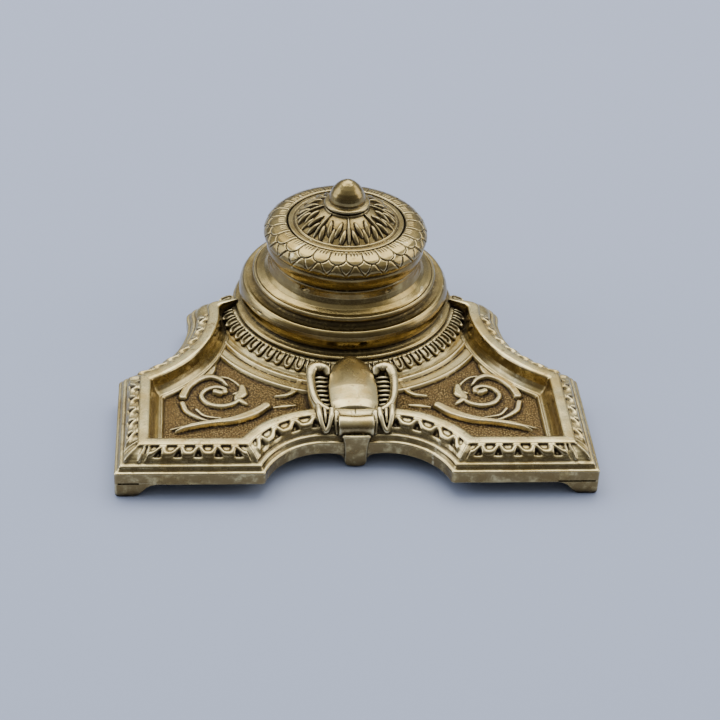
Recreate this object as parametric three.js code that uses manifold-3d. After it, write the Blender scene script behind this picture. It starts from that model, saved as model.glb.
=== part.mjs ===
// A cast brass inkstand with one hinged, lidded ink pot.
// Millimetres, +Z up. The origin is on the table, under the middle of the stand's box.
import * as THREE from 'three';
import { mergeVertices } from 'three/addons/utils/BufferGeometryUtils.js';
import Module from 'manifold-3d';

const wasm = await Module();
wasm.setup();

// ---- driving dimensions -------------------------------------------------
const WIDTH = 122;            // over the front corners
const FRONT = 74.2;           // pot axis to the front face
const WAIST_X = 43;           // half width at the waist and over the back corners
const BACK_CORNER_Y = -1;     // back corners, from the pot axis
const SIDE_BOW_R = 29;        // radius of the hollow sides
const SIDE_BOW_Y = -8;        // where the hollow sides are narrowest
const FRONT_BOW_R = 16.8;     // radius of the two hollows beside the bracket
const FRONT_BOW_X = 7.3;
const FRONT_BOW_DROP = 4.4;   // centre of those hollows, in front of the front face
const BRACKET_HALF = 4.8;     // half width of the straight stretch behind the bracket's foot

const SHIELD_HALF = 6.4;      // half width of the bracket's plain shield
const ROLL_HALF = 4.6;        // half width of the scroll in front of it
const ROLL_R = 2.9;

const FOOT_H = 3.8;           // clear height under the plinth band
const FOOT_FLAT = 4.5;        // flat part of a foot, from its corner
const FOOT_LEN = 10.5;        // a foot with its ogee
const WALL = 2.6;             // casting thickness
const PLINTH_TOP = 7.3;       // top of the plain vertical band
const CREST_Z = 12.2;         // top fillet of the border
const CREST_OUT = 6.0;        // its outer edge, from the outer face
const CREST_IN = 8.8;         // its inner edge
const FLOOR_Z = 6.4;          // sunken panel floor
const FLOOR_T = 1.5;
const FLOOR_START = 11;       // where the border's hollow moulding meets the floor

const SEAT_Z = 10.2;          // top of the seat under the pot housing
const SEAT_T = 1.6;
const SEAT_HOLE_GAP = 1.2;    // round the glass pot where it hangs through the seat
const SEAT_GAP = 0.1;         // between pieces that rest on each other
const FIT = 0.3;              // clearance all round a screw or a stud

const NECK_R = 20.4;          // neck of the housing, just under the lid
const NECK_RISE = 16;         // seat to the top of the neck
const NECK_WALL = 1.7;
const FLANGE_OUT = 9.7;       // bottom flange of the housing, outside the neck
const APRON_OUT = 0.9;        // round back of the stand, outside that flange
const COLLAR_OUT = 3.6;       // foot of the fluted collar, outside the round back
const LEDGE_DROP = 2.3;       // ledge inside the neck, under the pot's flange
const LEDGE_W = 1.4;

const POT_WALL = 2.0;
const POT_BOTTOM = 5.2;
const POT_FLOOR_T = 2.4;
const RING_T = 0.6;           // cork ring under the pot's flange

const LID_GAP = 0.4;          // lid edge over the neck
const LID_BAND_OUT = 0.9;     // plain band under the leaves, outside the neck
const CUSHION_OUT = 1.2;      // leaf cushion, outside that band
const LID_H = 9.5;
const DOME_SEAT_R = 16.1;     // round recess for the dome
const DOME_SEAT_DEEP = 1.9;
const WEB_T = 1.4;
const DOME_RISE = 5.1;        // over the top of the leaf cushion
const KNOB_DISC_R = 6.2;
const KNOB_R = 4.9;
const KNOB_H = 7.4;
const STUD_R = 1.5;
const NUT_WALL = 1.4;
const NUT_T = 2.2;

const HINGE_OUT = 4.0;        // hinge axis, outside the neck
const HINGE_R = 1.5;
const HINGE_W = 9;
const PIN_R = 0.6;
const PIN_CLEAR = 0.05;
const LEAF_T = 1.4;           // least thickness of a hinge leaf
const KNUCKLE_W = 2.6;        // the lid's middle knuckle
const SCREW_R = 0.5;          // small hinge screws
const SCREW_HEAD_R = 0.95;

const SEAT_SCREW_R = 1.2;     // three screws that hold the housing down
const SEAT_SCREW_HEAD_R = 2.3;
const SEAT_SCREW_HEAD_H = 1.4;
const WASHER_T = 0.6;

const TURN = 40;              // facets of a large turned piece
const SMALL_TURN = 16;

// ---- dimensions that follow -------------------------------------------
const HALF = WIDTH / 2;
const HOUSING_R = NECK_R + FLANGE_OUT;
const APRON_R = HOUSING_R + APRON_OUT;
const COLLAR_R = APRON_R + COLLAR_OUT;
const WELL_Y = (FRONT - APRON_R) / 2;
const NECK_TOP = SEAT_Z + NECK_RISE;
const LEDGE_Z = NECK_TOP - LEDGE_DROP;
const HINGE_Z = NECK_TOP + LID_GAP / 2;
const HINGE_Y = NECK_R + HINGE_OUT;
const LID_EDGE = NECK_TOP + LID_GAP;
const LID_TOP = LID_EDGE + LID_H;
const LID_BAND_R = NECK_R + LID_BAND_OUT;
const LID_R = LID_BAND_R + CUSHION_OUT;
const WEB_TOP = LID_TOP - DOME_SEAT_DEEP;
const DOME_TOP = LID_TOP + DOME_RISE;
const KNOB_TOP = DOME_TOP + KNOB_H;
const NECK_BORE = NECK_R - NECK_WALL;
const POT_FLANGE_R = NECK_BORE - FIT;
const POT_R = NECK_BORE - LEDGE_W - FIT;
const RING_BOTTOM = LEDGE_Z + SEAT_GAP;
const POT_FLANGE_Z = RING_BOTTOM + RING_T + SEAT_GAP;
const POT_TOP = NECK_TOP - 0.2;
const SEAT_HOLE_R = POT_R + SEAT_HOLE_GAP;
const HOUSING_BOTTOM = SEAT_Z + SEAT_GAP;
const SEAT_SCREW_AT = (SEAT_HOLE_R + APRON_R - WALL) / 2;
const LEAF_FACE = HINGE_Y - HINGE_R - 0.3;
const BORE_R = STUD_R + FIT;
const NUT_R = BORE_R + NUT_WALL;
const NUT_TOP = WEB_TOP - WEB_T - SEAT_GAP * 2 - WASHER_T;
const NUT_BOTTOM = NUT_TOP - NUT_T;
const BODY_SCREW_Z = NECK_TOP - 3.3;
const BODY_SCREW_END = NECK_R - 1.2;
const LID_SCREW_Z = HINGE_Z + 2.9;
const LID_SCREW_END = LID_BAND_R - 1.6;

// ---- materials ----------------------------------------------------------
const brass = () => new THREE.MeshStandardMaterial({ color: 0xb59a5c, roughness: 0.3, metalness: 1 });
const darkBrass = () => new THREE.MeshStandardMaterial({ color: 0x8f7440, roughness: 0.45, metalness: 1 });
const steel = () => new THREE.MeshStandardMaterial({ color: 0x9a9a98, roughness: 0.35, metalness: 1 });
const glass = () => new THREE.MeshStandardMaterial({ color: 0xcfe0dc, roughness: 0.05, metalness: 0 });
const cork = () => new THREE.MeshStandardMaterial({ color: 0xa9825a, roughness: 0.9, metalness: 0 });

// ---- solids -------------------------------------------------------------
function solid(geometry) {
  const bare = geometry.index ? geometry.toNonIndexed() : geometry.clone();
  bare.deleteAttribute('normal');
  bare.deleteAttribute('uv');
  const merged = mergeVertices(bare, 1e-4);
  return new wasm.Manifold(new wasm.Mesh({
    numProp: 3,
    vertProperties: new Float32Array(merged.attributes.position.array),
    triVerts: new Uint32Array(merged.index.array),
  }));
}

function geometryOf(body) {
  const mesh = body.getMesh();
  const geometry = new THREE.BufferGeometry();
  geometry.setAttribute('position', new THREE.BufferAttribute(new Float32Array(mesh.vertProperties), 3));
  geometry.setIndex(new THREE.BufferAttribute(new Uint32Array(mesh.triVerts), 1));
  return geometry;
}

// A turned solid about Z. Profile points are [radius, height].
function turned(profile, facets = TURN) {
  const points = profile.map(([r, z]) => new THREE.Vector2(r, z));
  const closed = profile[0][0] !== 0 || profile[profile.length - 1][0] !== 0;
  if (closed) points.push(points[0].clone());
  const geometry = new THREE.LatheGeometry(points, facets);
  geometry.rotateX(Math.PI / 2);
  return facingOut(geometry);
}

function facingOut(geometry) {
  const flat = geometry.index ? geometry.toNonIndexed() : geometry;
  const p = flat.attributes.position;
  let volume = 0;
  const [a, b, c] = [new THREE.Vector3(), new THREE.Vector3(), new THREE.Vector3()];
  for (let i = 0; i < p.count; i += 3) {
    a.fromBufferAttribute(p, i);
    b.fromBufferAttribute(p, i + 1);
    c.fromBufferAttribute(p, i + 2);
    volume += a.dot(b.cross(c));
  }
  if (volume > 0) return solid(flat);
  const turnedOver = flat.clone();
  const q = turnedOver.attributes.position;
  for (let i = 0; i < p.count; i += 3) {
    for (const [from, to] of [[0, 0], [1, 2], [2, 1]]) {
      q.setXYZ(i + to, p.getX(i + from), p.getY(i + from), p.getZ(i + from));
    }
  }
  return solid(turnedOver);
}

function cylinder(r, z0, z1, facets = SMALL_TURN) {
  return turned([[0, z0], [r, z0], [r, z1], [0, z1]], facets);
}

function block(x0, x1, y0, y1, z0, z1) {
  const geometry = new THREE.BoxGeometry(x1 - x0, y1 - y0, z1 - z0);
  geometry.translate((x0 + x1) / 2, (y0 + y1) / 2, (z0 + z1) / 2);
  return solid(geometry);
}

// A flat outline [x, y] raised from z0 to z1.
function raised(outline, z0, z1) {
  const shape = new THREE.Shape(outline.map(([x, y]) => new THREE.Vector2(x, y)));
  const geometry = new THREE.ExtrudeGeometry(shape, { depth: z1 - z0, bevelEnabled: false });
  geometry.translate(0, 0, z0);
  return facingOut(geometry);
}

// An outline in (y, z) pushed along X from x0 to x1.
function pushedAlongX(outline, x0, x1) {
  const shape = new THREE.Shape(outline.map(([y, z]) => new THREE.Vector2(y, z)));
  const geometry = new THREE.ExtrudeGeometry(shape, { depth: x1 - x0, bevelEnabled: false });
  geometry.applyMatrix4(new THREE.Matrix4().set(0, 0, 1, x0, 1, 0, 0, 0, 0, 1, 0, 0, 0, 0, 0, 1));
  return facingOut(geometry);
}

// An outline in (x, z) pushed along Y from y0 to y1.
function pushedAlongY(outline, y0, y1) {
  const shape = new THREE.Shape(outline.map(([x, z]) => new THREE.Vector2(x, z)));
  const geometry = new THREE.ExtrudeGeometry(shape, { depth: y1 - y0, bevelEnabled: false });
  geometry.applyMatrix4(new THREE.Matrix4().set(1, 0, 0, 0, 0, 0, 1, y0, 0, 1, 0, 0, 0, 0, 0, 1));
  return facingOut(geometry);
}

function joined(bodies) {
  return bodies.reduce((all, body) => all.add(body));
}

function moved(geometryBody, x, y, z) {
  const geometry = geometryOf(geometryBody);
  geometry.translate(x, y, z);
  return solid(geometry);
}

// A cylinder along X or Y, through a point.
function rod(r, axis, from, to, at, facets = SMALL_TURN) {
  const geometry = geometryOf(cylinder(r, from, to, facets));
  const [first, second] = at;
  const alongX = [0, 0, 1, 0, 1, 0, 0, first, 0, 1, 0, second, 0, 0, 0, 1];
  const alongY = [0, 1, 0, first, 0, 0, 1, 0, 1, 0, 0, second, 0, 0, 0, 1];
  geometry.applyMatrix4(new THREE.Matrix4().set(...(axis === 'x' ? alongX : alongY)));
  return facingOut(geometry);
}

// ---- plan of the stand, about the pot axis ------------------------------
function arc(cx, cy, r, a0, a1, steps) {
  const points = [];
  for (let i = 0; i <= steps; i++) {
    const a = a0 + (a1 - a0) * i / steps;
    points.push([cx + r * Math.cos(a), cy + r * Math.sin(a)]);
  }
  return points;
}

// Right half of the outline, moved inwards by a distance. The hollows keep their centres.
function rightHalf(inward) {
  const bowY = -FRONT - FRONT_BOW_DROP;
  const frontR = FRONT_BOW_R + inward;
  const start = Math.asin((FRONT_BOW_DROP + inward) / frontR);
  const end = Math.acos(-(FRONT_BOW_X - BRACKET_HALF) / frontR);
  const frontBow = arc(FRONT_BOW_X, bowY, frontR, end, start, 9);
  const bowX = WAIST_X + SIDE_BOW_R;
  const sideR = SIDE_BOW_R + inward;
  const reach = Math.acos((bowX - HALF + inward) / sideR);
  const backY = BACK_CORNER_Y - inward;
  const stop = Math.asin(Math.max(0, SIDE_BOW_Y - backY) / sideR);
  const last = stop > 0 ? stop + 0.03 : 0;
  const sideBow = arc(bowX, SIDE_BOW_Y, sideR, Math.PI + reach, Math.PI + last, 9);
  const backCorner = [bowX - sideR * Math.cos(stop), backY];
  return [...frontBow, [HALF - inward, -FRONT + inward], ...sideBow, backCorner];
}

function planOutline(inward) {
  const right = rightHalf(inward);
  const left = right.map(([x, y]) => [-x, y]).reverse();
  return [...left, ...right];
}

// The border: a section [inset, height] carried all round the outline.
function bordered(section) {
  const rings = section.map(([d, z]) => planOutline(d).map(([x, y]) => [x, y, z]));
  const n = rings[0].length;
  const corners = [];
  rings.forEach((ring, j) => {
    const next = rings[(j + 1) % rings.length];
    for (let i = 0; i < n; i++) {
      const k = (i + 1) % n;
      corners.push(ring[i], ring[k], next[k], ring[i], next[k], next[i]);
    }
  });
  const geometry = new THREE.BufferGeometry();
  geometry.setAttribute('position', new THREE.BufferAttribute(new Float32Array(corners.flat()), 3));
  return facingOut(geometry);
}

// ---- the stand ----------------------------------------------------------
function borderSection() {
  const ovolo = [[1.4, 8.3], [2.2, 9.8], [3.6, 11.1], [5.2, 11.6], [CREST_OUT - 0.3, CREST_Z - 0.1],
    [CREST_OUT, CREST_Z]];
  const hollow = [[CREST_IN, CREST_Z], [CREST_IN + 0.5, 9.6], [CREST_IN + 1.1, 7.6]];
  const below = FLOOR_Z - FLOOR_T;
  const under = [[FLOOR_START, below], [8.6, below], [6.6, 9.6], [5.0, 9.6], [WALL, 7.0]];
  return [[0, FOOT_H], [0, PLINTH_TOP], [0.6, 7.6], [0.6, 8.2], ...ovolo, ...hollow,
    [FLOOR_START, FLOOR_Z], ...under, [WALL, FOOT_H]];
}

function footShape(corner, side) {
  const run = [[0, 0], [FOOT_FLAT, 0], [FOOT_FLAT + 1.4, 0.5], [FOOT_FLAT + 2.8, 1.9], [FOOT_FLAT + 4, 3.1],
    [FOOT_LEN, FOOT_H], [FOOT_LEN, FOOT_H + 0.8], [0, FOOT_H + 0.8]];
  return run.map(([s, z]) => [corner + side * s, z]);
}

function cornerFoot(x, y, inX, inY) {
  const yBand = inY > 0 ? [y, y + WALL] : [y - WALL, y];
  const xBand = inX > 0 ? [x, x + WALL] : [x - WALL, x];
  return pushedAlongY(footShape(x, inX), ...yBand).add(pushedAlongX(footShape(y, inY), ...xBand));
}

function seatRing() {
  const under = SEAT_Z - SEAT_T;
  return turned([[SEAT_HOLE_R, under], [SEAT_HOLE_R, SEAT_Z], [APRON_R - 0.6, SEAT_Z], [APRON_R, SEAT_Z - 0.6],
    [APRON_R, FOOT_H], [APRON_R - WALL, FOOT_H], [APRON_R - WALL, under]]);
}

function collar() {
  const band = turned([[APRON_R - 1, FLOOR_Z - 1], [APRON_R - 1, SEAT_Z], [APRON_R, SEAT_Z],
    [COLLAR_R - 1.6, SEAT_Z - 0.6], [COLLAR_R - 0.4, SEAT_Z - 1.8], [COLLAR_R, FLOOR_Z + 0.8],
    [COLLAR_R + 1.4, FLOOR_Z + 0.5], [COLLAR_R + 1.4, FLOOR_Z - 1]]);
  return band.intersect(raised(planOutline(CREST_IN), 0, CREST_Z));
}

function bracket() {
  const face = FRONT + FRONT_BOW_DROP - FRONT_BOW_R + 1;
  const back = COLLAR_R - 3.2;
  const low = FLOOR_Z - 0.4;
  const along = (share) => -back - share * (face - 7.5 - back);
  const shield = pushedAlongX([[along(0), low], [along(0), 13], [along(0.3), 13.6], [along(0.6), 13.8],
    [along(0.85), 13.5], [along(1), 12.9], [along(1), low]], -SHIELD_HALF, SHIELD_HALF);
  const roll = rod(ROLL_R, 'x', -ROLL_HALF, ROLL_HALF, [-face + ROLL_R + 1.4, 10.2]);
  const core = block(-ROLL_HALF - 0.7, ROLL_HALF + 0.7, -face + 2.2, -face + 8, low, 12.6);
  const footOutline = [[-3, 0], [3, 0], [3.1, 2.4], [4.6, FOOT_H], [3.2, 9.6], [-3.2, 9.6], [-4.6, FOOT_H],
    [-3.1, 2.4]];
  const foot = pushedAlongY(footOutline, -face, -face + WALL);
  const volute = [[6.1, along(0.11)], [10.6, along(0.09)], [12.8, along(0.2)], [12.4, along(0.63)],
    [10.2, along(0.98)], [6.1, along(0.98)]];
  const mirrored = volute.map(([x, y]) => [-x, y]);
  const top = CREST_Z + 0.9;
  return joined([shield, roll, core, foot, raised(volute, low, top), raised(mirrored, low, top)]);
}

function seatScrewPlaces() {
  return [30, 150, 270].map((degrees) => {
    const a = THREE.MathUtils.degToRad(degrees);
    return [SEAT_SCREW_AT * Math.cos(a), SEAT_SCREW_AT * Math.sin(a)];
  });
}

function baseCasting() {
  const floorPlate = raised(planOutline(FLOOR_START - 1), FLOOR_Z - FLOOR_T, FLOOR_Z);
  const underSeat = cylinder(APRON_R - 0.5, -1, CREST_Z + 5, TURN);
  let body = bordered(borderSection()).add(floorPlate);
  body = body.add(collar()).subtract(underSeat);
  body = joined([body, seatRing(), bracket()]);
  for (const side of [-1, 1]) {
    body = body.add(cornerFoot(side * HALF, -FRONT, -side, 1));
    body = body.add(cornerFoot(side * WAIST_X, BACK_CORNER_Y, -side, -1));
  }
  const footTop = FOOT_H + 0.8;
  const inner = APRON_R - WALL;
  const backFoot = turned([[inner, 0], [APRON_R, 0], [APRON_R, footTop], [inner, footTop]]);
  body = body.add(backFoot.intersect(block(-3.6, 3.6, 0, APRON_R + 1, -1, FOOT_H + 1)));
  for (const [x, y] of seatScrewPlaces()) {
    body = body.subtract(moved(cylinder(SEAT_SCREW_R + FIT, 0, SEAT_Z + 1), x, y, 0));
  }
  return body;
}

// ---- the housing and its pot --------------------------------------------
// Profile points given as [outside the neck, above the seat].
function fromNeck(points) {
  return points.map(([out, up]) => [NECK_R + out, SEAT_Z + up]);
}

function housingProfile() {
  const neck = fromNeck([[0, NECK_RISE], [0, 15], [0.3, 13.2], [1.2, 11.4], [3.2, 10.3]]);
  const bead = fromNeck([[4.5, 10.2], [4.8, 9.7], [4.5, 9.1]]);
  const scotia = fromNeck([[3.8, 8.4], [4.0, 7.5], [5.4, 7.3], [7.1, 7.8]]);
  const torus = fromNeck([[7.9, 7.1], [8.4, 5.4], [8.3, 3.8], [7.6, 2.4]]);
  const foot = fromNeck([[7.3, 1.9], [7.9, 1.3], [9.1, 1.0], [FLANGE_OUT, 0.8], [FLANGE_OUT, SEAT_GAP]]);
  const inside = fromNeck([[-0.6, SEAT_GAP], [-0.6, 2.6], [5.6, 2.6], [5.8, 5.4], [2.0, 6.0], [1.8, 8.2],
    [-0.6, 10.2]]);
  const ledge = NECK_BORE - LEDGE_W;
  const bore = [[ledge, LEDGE_Z - 1.7], [ledge, LEDGE_Z], [NECK_BORE, LEDGE_Z], [NECK_BORE, NECK_TOP]];
  return [...neck, ...bead, ...scotia, ...torus, ...foot, ...inside, ...bore];
}

function wellHousing() {
  let body = turned(housingProfile());
  for (const [x, y] of seatScrewPlaces()) {
    const hole = cylinder(SEAT_SCREW_R + FIT, HOUSING_BOTTOM - 1, HOUSING_BOTTOM + 2);
    body = body.subtract(moved(hole, x, y, 0));
  }
  for (const x of hingeScrewX()) {
    const at = [x, BODY_SCREW_Z];
    body = body.subtract(rod(SCREW_R + FIT, 'y', BODY_SCREW_END - FIT, LEAF_FACE, at));
  }
  return body;
}

function inkLiner() {
  const inner = POT_R - POT_WALL;
  return turned([[0, POT_BOTTOM], [POT_R - 1.5, POT_BOTTOM], [POT_R, POT_BOTTOM + 1.5], [POT_R, POT_FLANGE_Z],
    [POT_FLANGE_R, POT_FLANGE_Z], [POT_FLANGE_R, POT_TOP - 0.4], [POT_FLANGE_R - 0.4, POT_TOP],
    [inner + 0.5, POT_TOP], [inner, POT_TOP - 0.6], [inner, POT_BOTTOM + POT_FLOOR_T + 2],
    [inner - 2.5, POT_BOTTOM + POT_FLOOR_T], [0, POT_BOTTOM + POT_FLOOR_T]], 32);
}

function linerRing() {
  return turned([[POT_R + FIT, RING_BOTTOM], [POT_FLANGE_R, RING_BOTTOM], [POT_FLANGE_R, RING_BOTTOM + RING_T],
    [POT_R + FIT, RING_BOTTOM + RING_T]], 32);
}

function seatScrew() {
  const head = SEAT_Z - SEAT_T - SEAT_GAP * 2 - WASHER_T;
  return turned([[0, head - SEAT_SCREW_HEAD_H], [SEAT_SCREW_HEAD_R - 0.5, head - SEAT_SCREW_HEAD_H],
    [SEAT_SCREW_HEAD_R, head - 0.7], [SEAT_SCREW_HEAD_R, head], [SEAT_SCREW_R, head],
    [SEAT_SCREW_R, HOUSING_BOTTOM + 1.6], [0, HOUSING_BOTTOM + 1.6]], SMALL_TURN);
}

function seatWasher() {
  const top = SEAT_Z - SEAT_T - SEAT_GAP;
  return turned([[SEAT_SCREW_R + FIT, top - WASHER_T], [SEAT_SCREW_HEAD_R + 0.6, top - WASHER_T],
    [SEAT_SCREW_HEAD_R + 0.6, top], [SEAT_SCREW_R + FIT, top]], SMALL_TURN);
}

// ---- the lid --------------------------------------------------------------
function lidProfile() {
  const roll = LID_R - DOME_SEAT_R - 0.3;
  const band = [[LID_BAND_R - 0.5, LID_EDGE], [LID_BAND_R + 0.2, LID_EDGE + 0.8],
    [LID_BAND_R + 0.5, LID_EDGE + 2.8], [LID_BAND_R + 0.4, LID_EDGE + 4.2]];
  const cushion = [[LID_R, LID_TOP - 4.5], [LID_R - 0.02 * roll, LID_TOP - 3.1],
    [LID_R - 0.18 * roll, LID_TOP - 1.4], [LID_R - 0.48 * roll, LID_TOP - 0.4],
    [LID_R - 0.8 * roll, LID_TOP], [LID_R - roll, LID_TOP]];
  const recess = [[DOME_SEAT_R, LID_TOP - 0.3], [DOME_SEAT_R, WEB_TOP], [BORE_R, WEB_TOP],
    [BORE_R, WEB_TOP - WEB_T]];
  const inside = [[LID_BAND_R - 2.6, WEB_TOP - WEB_T], [LID_BAND_R - 1.9, WEB_TOP - WEB_T * 2],
    [LID_BAND_R - 1.9, LID_EDGE]];
  return [...band, ...cushion, ...recess, ...inside];
}

function lidRing() {
  let body = turned(lidProfile());
  for (const x of hingeScrewX()) {
    body = body.subtract(rod(SCREW_R + FIT, 'y', 0, LEAF_FACE, [x, LID_SCREW_Z]).intersect(
      block(x - 2, x + 2, LID_BAND_R - 4, LEAF_FACE, LID_EDGE, LID_TOP)));
  }
  return body;
}

function lidDome() {
  const edge = DOME_SEAT_R - FIT;
  const bottom = WEB_TOP + SEAT_GAP;
  const core = BORE_R + 1.6;
  const under = [[core, bottom], [core, DOME_TOP - 2], [0.38 * edge, DOME_TOP - 2.2],
    [0.67 * edge, DOME_TOP - 4.8], [edge - 2.6, bottom]];
  const rim = [[edge, bottom], [edge, LID_TOP - 0.4], [edge - 0.3, LID_TOP - 0.1],
    [edge - 1.4, LID_TOP - 0.1], [edge - 1.9, LID_TOP + 0.4]];
  const crown = [[0.72 * edge, LID_TOP + 2.2], [0.545 * edge, DOME_TOP - 1.3], [KNOB_DISC_R, DOME_TOP - 0.2],
    [KNOB_DISC_R - 1, DOME_TOP], [BORE_R, DOME_TOP]];
  return turned([[BORE_R, bottom], ...under, ...rim, ...crown]);
}

function finialKnob() {
  const disc = DOME_TOP + SEAT_GAP;
  return turned([[0, NUT_BOTTOM - 0.4], [STUD_R, NUT_BOTTOM - 0.4], [STUD_R, disc], [KNOB_DISC_R - 0.3, disc],
    [KNOB_DISC_R, disc + 0.4], [KNOB_DISC_R - 0.3, disc + 0.9], [KNOB_R, disc + 1.2], [KNOB_R, disc + 2.2],
    [KNOB_R - 0.7, disc + 4], [KNOB_R - 1.8, disc + 5.7], [KNOB_R - 3.3, KNOB_TOP - 0.3], [0, KNOB_TOP]], 24);
}

function finialNut() {
  return turned([[BORE_R, NUT_BOTTOM], [NUT_R, NUT_BOTTOM], [NUT_R, NUT_TOP], [BORE_R, NUT_TOP]], 6);
}

function finialWasher() {
  const top = WEB_TOP - WEB_T - SEAT_GAP;
  const rim = NUT_R + 0.8;
  return turned([[BORE_R, top - WASHER_T], [rim, top - WASHER_T], [rim, top], [BORE_R, top]], SMALL_TURN);
}

// ---- the hinge ------------------------------------------------------------
function hingeScrewX() {
  return [-HINGE_W / 3, HINGE_W / 3];
}

function knuckle(x0, x1) {
  return rod(HINGE_R, 'x', x0, x1, [HINGE_Y, HINGE_Z]);
}

function pinHole() {
  return rod(PIN_R + PIN_CLEAR, 'x', -HINGE_W, HINGE_W, [HINGE_Y, HINGE_Z]);
}

// Cylinder that a leaf's back is hollowed to, so that it lies on a round wall.
function wallBehind(r, z0, z1) {
  return cylinder(r + SEAT_GAP, z0, z1, TURN * 2);
}

function hingeBodyLeaf() {
  const end = HINGE_W / 2;
  const inner = KNUCKLE_W / 2 + FIT;
  const top = HINGE_Z - 0.8;
  const bottom = NECK_TOP - 5;
  let body = block(-end, end, NECK_R - 1.5, LEAF_FACE, bottom, top);
  for (const [x0, x1] of [[-end, -inner], [inner, end]]) {
    body = body.add(block(x0, x1, LEAF_FACE - LEAF_T, HINGE_Y, HINGE_Z - HINGE_R, top + 0.2));
    body = body.add(knuckle(x0, x1));
  }
  const profile = housingProfile().slice(0, 6).map(([r, z]) => [r + SEAT_GAP, z]);
  profile[0][1] = NECK_TOP + 2;
  const neck = turned([[0, NECK_TOP - 7.2], ...profile.reverse(), [0, NECK_TOP + 2]], TURN);
  body = body.subtract(neck).subtract(pinHole());
  for (const x of hingeScrewX()) {
    body = body.subtract(rod(SCREW_R + FIT, 'y', 0, LEAF_FACE + 1, [x, BODY_SCREW_Z]));
  }
  return body;
}

function hingeLidLeaf() {
  const end = HINGE_W / 2;
  const bottom = HINGE_Z + 0.8;
  const top = LID_SCREW_Z + 1.3;
  const plate = block(-end, end, LID_BAND_R - 2, LEAF_FACE, bottom, top);
  const half = KNUCKLE_W / 2;
  const web = block(-half, half, LEAF_FACE - LEAF_T / 2, HINGE_Y, HINGE_Z, HINGE_Z + HINGE_R);
  let body = joined([plate, web, knuckle(-half, half)]);
  body = body.subtract(wallBehind(LID_BAND_R + 0.5, LID_EDGE - 2, top + 1)).subtract(pinHole());
  for (const x of hingeScrewX()) {
    body = body.subtract(rod(SCREW_R + FIT, 'y', 0, LEAF_FACE + 1, [x, LID_SCREW_Z]));
  }
  return body;
}

function hingePin() {
  const end = HINGE_W / 2 + 0.3;
  return rod(PIN_R, 'x', -end, end, [HINGE_Y, HINGE_Z]);
}

function hingeScrew(x, z, end) {
  const head = LEAF_FACE + SEAT_GAP;
  const shank = rod(SCREW_R, 'y', end, head + 0.3, [x, z]);
  const cap = rod(SCREW_HEAD_R, 'y', head, head + 0.35, [x, z]);
  return joined([shank, cap, rod(SCREW_HEAD_R * 0.7, 'y', head, head + 0.6, [x, z])]);
}

// ---- assembly ---------------------------------------------------------------
const inkwell = new THREE.Group();
const pot = new THREE.Group();
pot.position.set(0, WELL_Y, 0);
inkwell.add(pot);

function piece(name, body, material) {
  const mesh = new THREE.Mesh(geometryOf(body), material);
  mesh.name = name;
  pot.add(mesh);
  return mesh;
}

piece('base_casting', baseCasting(), brass());
piece('well_housing', wellHousing(), brass());
piece('ink_liner', inkLiner(), glass());
piece('liner_ring', linerRing(), cork());
seatScrewPlaces().forEach(([x, y], i) => {
  piece(`housing_screw_${i + 1}`, seatScrew(), steel()).position.set(x, y, 0);
  piece(`housing_washer_${i + 1}`, seatWasher(), darkBrass()).position.set(x, y, 0);
});
piece('lid_ring', lidRing(), brass());
piece('lid_dome', lidDome(), brass());
piece('finial_knob', finialKnob(), brass());
piece('finial_washer', finialWasher(), darkBrass());
piece('finial_nut', finialNut(), darkBrass());
piece('hinge_body_leaf', hingeBodyLeaf(), darkBrass());
piece('hinge_lid_leaf', hingeLidLeaf(), darkBrass());
piece('hinge_pin', hingePin(), steel());
hingeScrewX().forEach((x, i) => {
  piece(`hinge_body_screw_${i + 1}`, hingeScrew(x, BODY_SCREW_Z, BODY_SCREW_END), steel());
  piece(`hinge_lid_screw_${i + 1}`, hingeScrew(x, LID_SCREW_Z, LID_SCREW_END), steel());
});

export default inkwell;
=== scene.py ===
import math

import bpy
import numpy as np
from mathutils import Matrix, Vector


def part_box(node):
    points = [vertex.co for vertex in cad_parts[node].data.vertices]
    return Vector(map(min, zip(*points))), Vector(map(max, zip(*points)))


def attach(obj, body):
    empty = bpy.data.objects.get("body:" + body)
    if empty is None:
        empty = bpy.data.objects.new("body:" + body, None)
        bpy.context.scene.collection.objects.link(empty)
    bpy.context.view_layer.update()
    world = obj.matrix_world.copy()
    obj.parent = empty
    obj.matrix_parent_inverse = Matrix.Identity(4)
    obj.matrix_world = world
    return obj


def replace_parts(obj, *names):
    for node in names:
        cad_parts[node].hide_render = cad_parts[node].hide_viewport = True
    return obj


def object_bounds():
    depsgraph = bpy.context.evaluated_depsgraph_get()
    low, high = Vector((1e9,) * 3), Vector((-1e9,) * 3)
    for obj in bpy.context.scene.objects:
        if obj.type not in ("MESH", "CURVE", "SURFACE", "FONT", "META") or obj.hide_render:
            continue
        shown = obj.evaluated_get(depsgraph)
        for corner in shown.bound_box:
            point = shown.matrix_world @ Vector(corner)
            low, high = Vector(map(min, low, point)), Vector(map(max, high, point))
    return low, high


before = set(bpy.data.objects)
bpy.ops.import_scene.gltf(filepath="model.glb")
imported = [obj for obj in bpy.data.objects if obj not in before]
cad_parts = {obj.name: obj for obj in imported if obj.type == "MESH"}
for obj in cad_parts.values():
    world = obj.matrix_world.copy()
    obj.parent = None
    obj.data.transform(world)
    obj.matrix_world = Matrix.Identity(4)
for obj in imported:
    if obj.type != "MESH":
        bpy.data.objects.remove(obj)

CAD_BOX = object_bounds()

# A cast and hand-finished brass inkstand. Shapes are worked out in millimetres about the pot's
# axis, with Z up from the table, and turned into metres when a mesh is made.
MM = 0.001


def box_mm(node):
    """Lowest and highest corner of a CAD node, in millimetres."""
    low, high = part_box(node)
    return np.array(low) / MM, np.array(high) / MM


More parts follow.
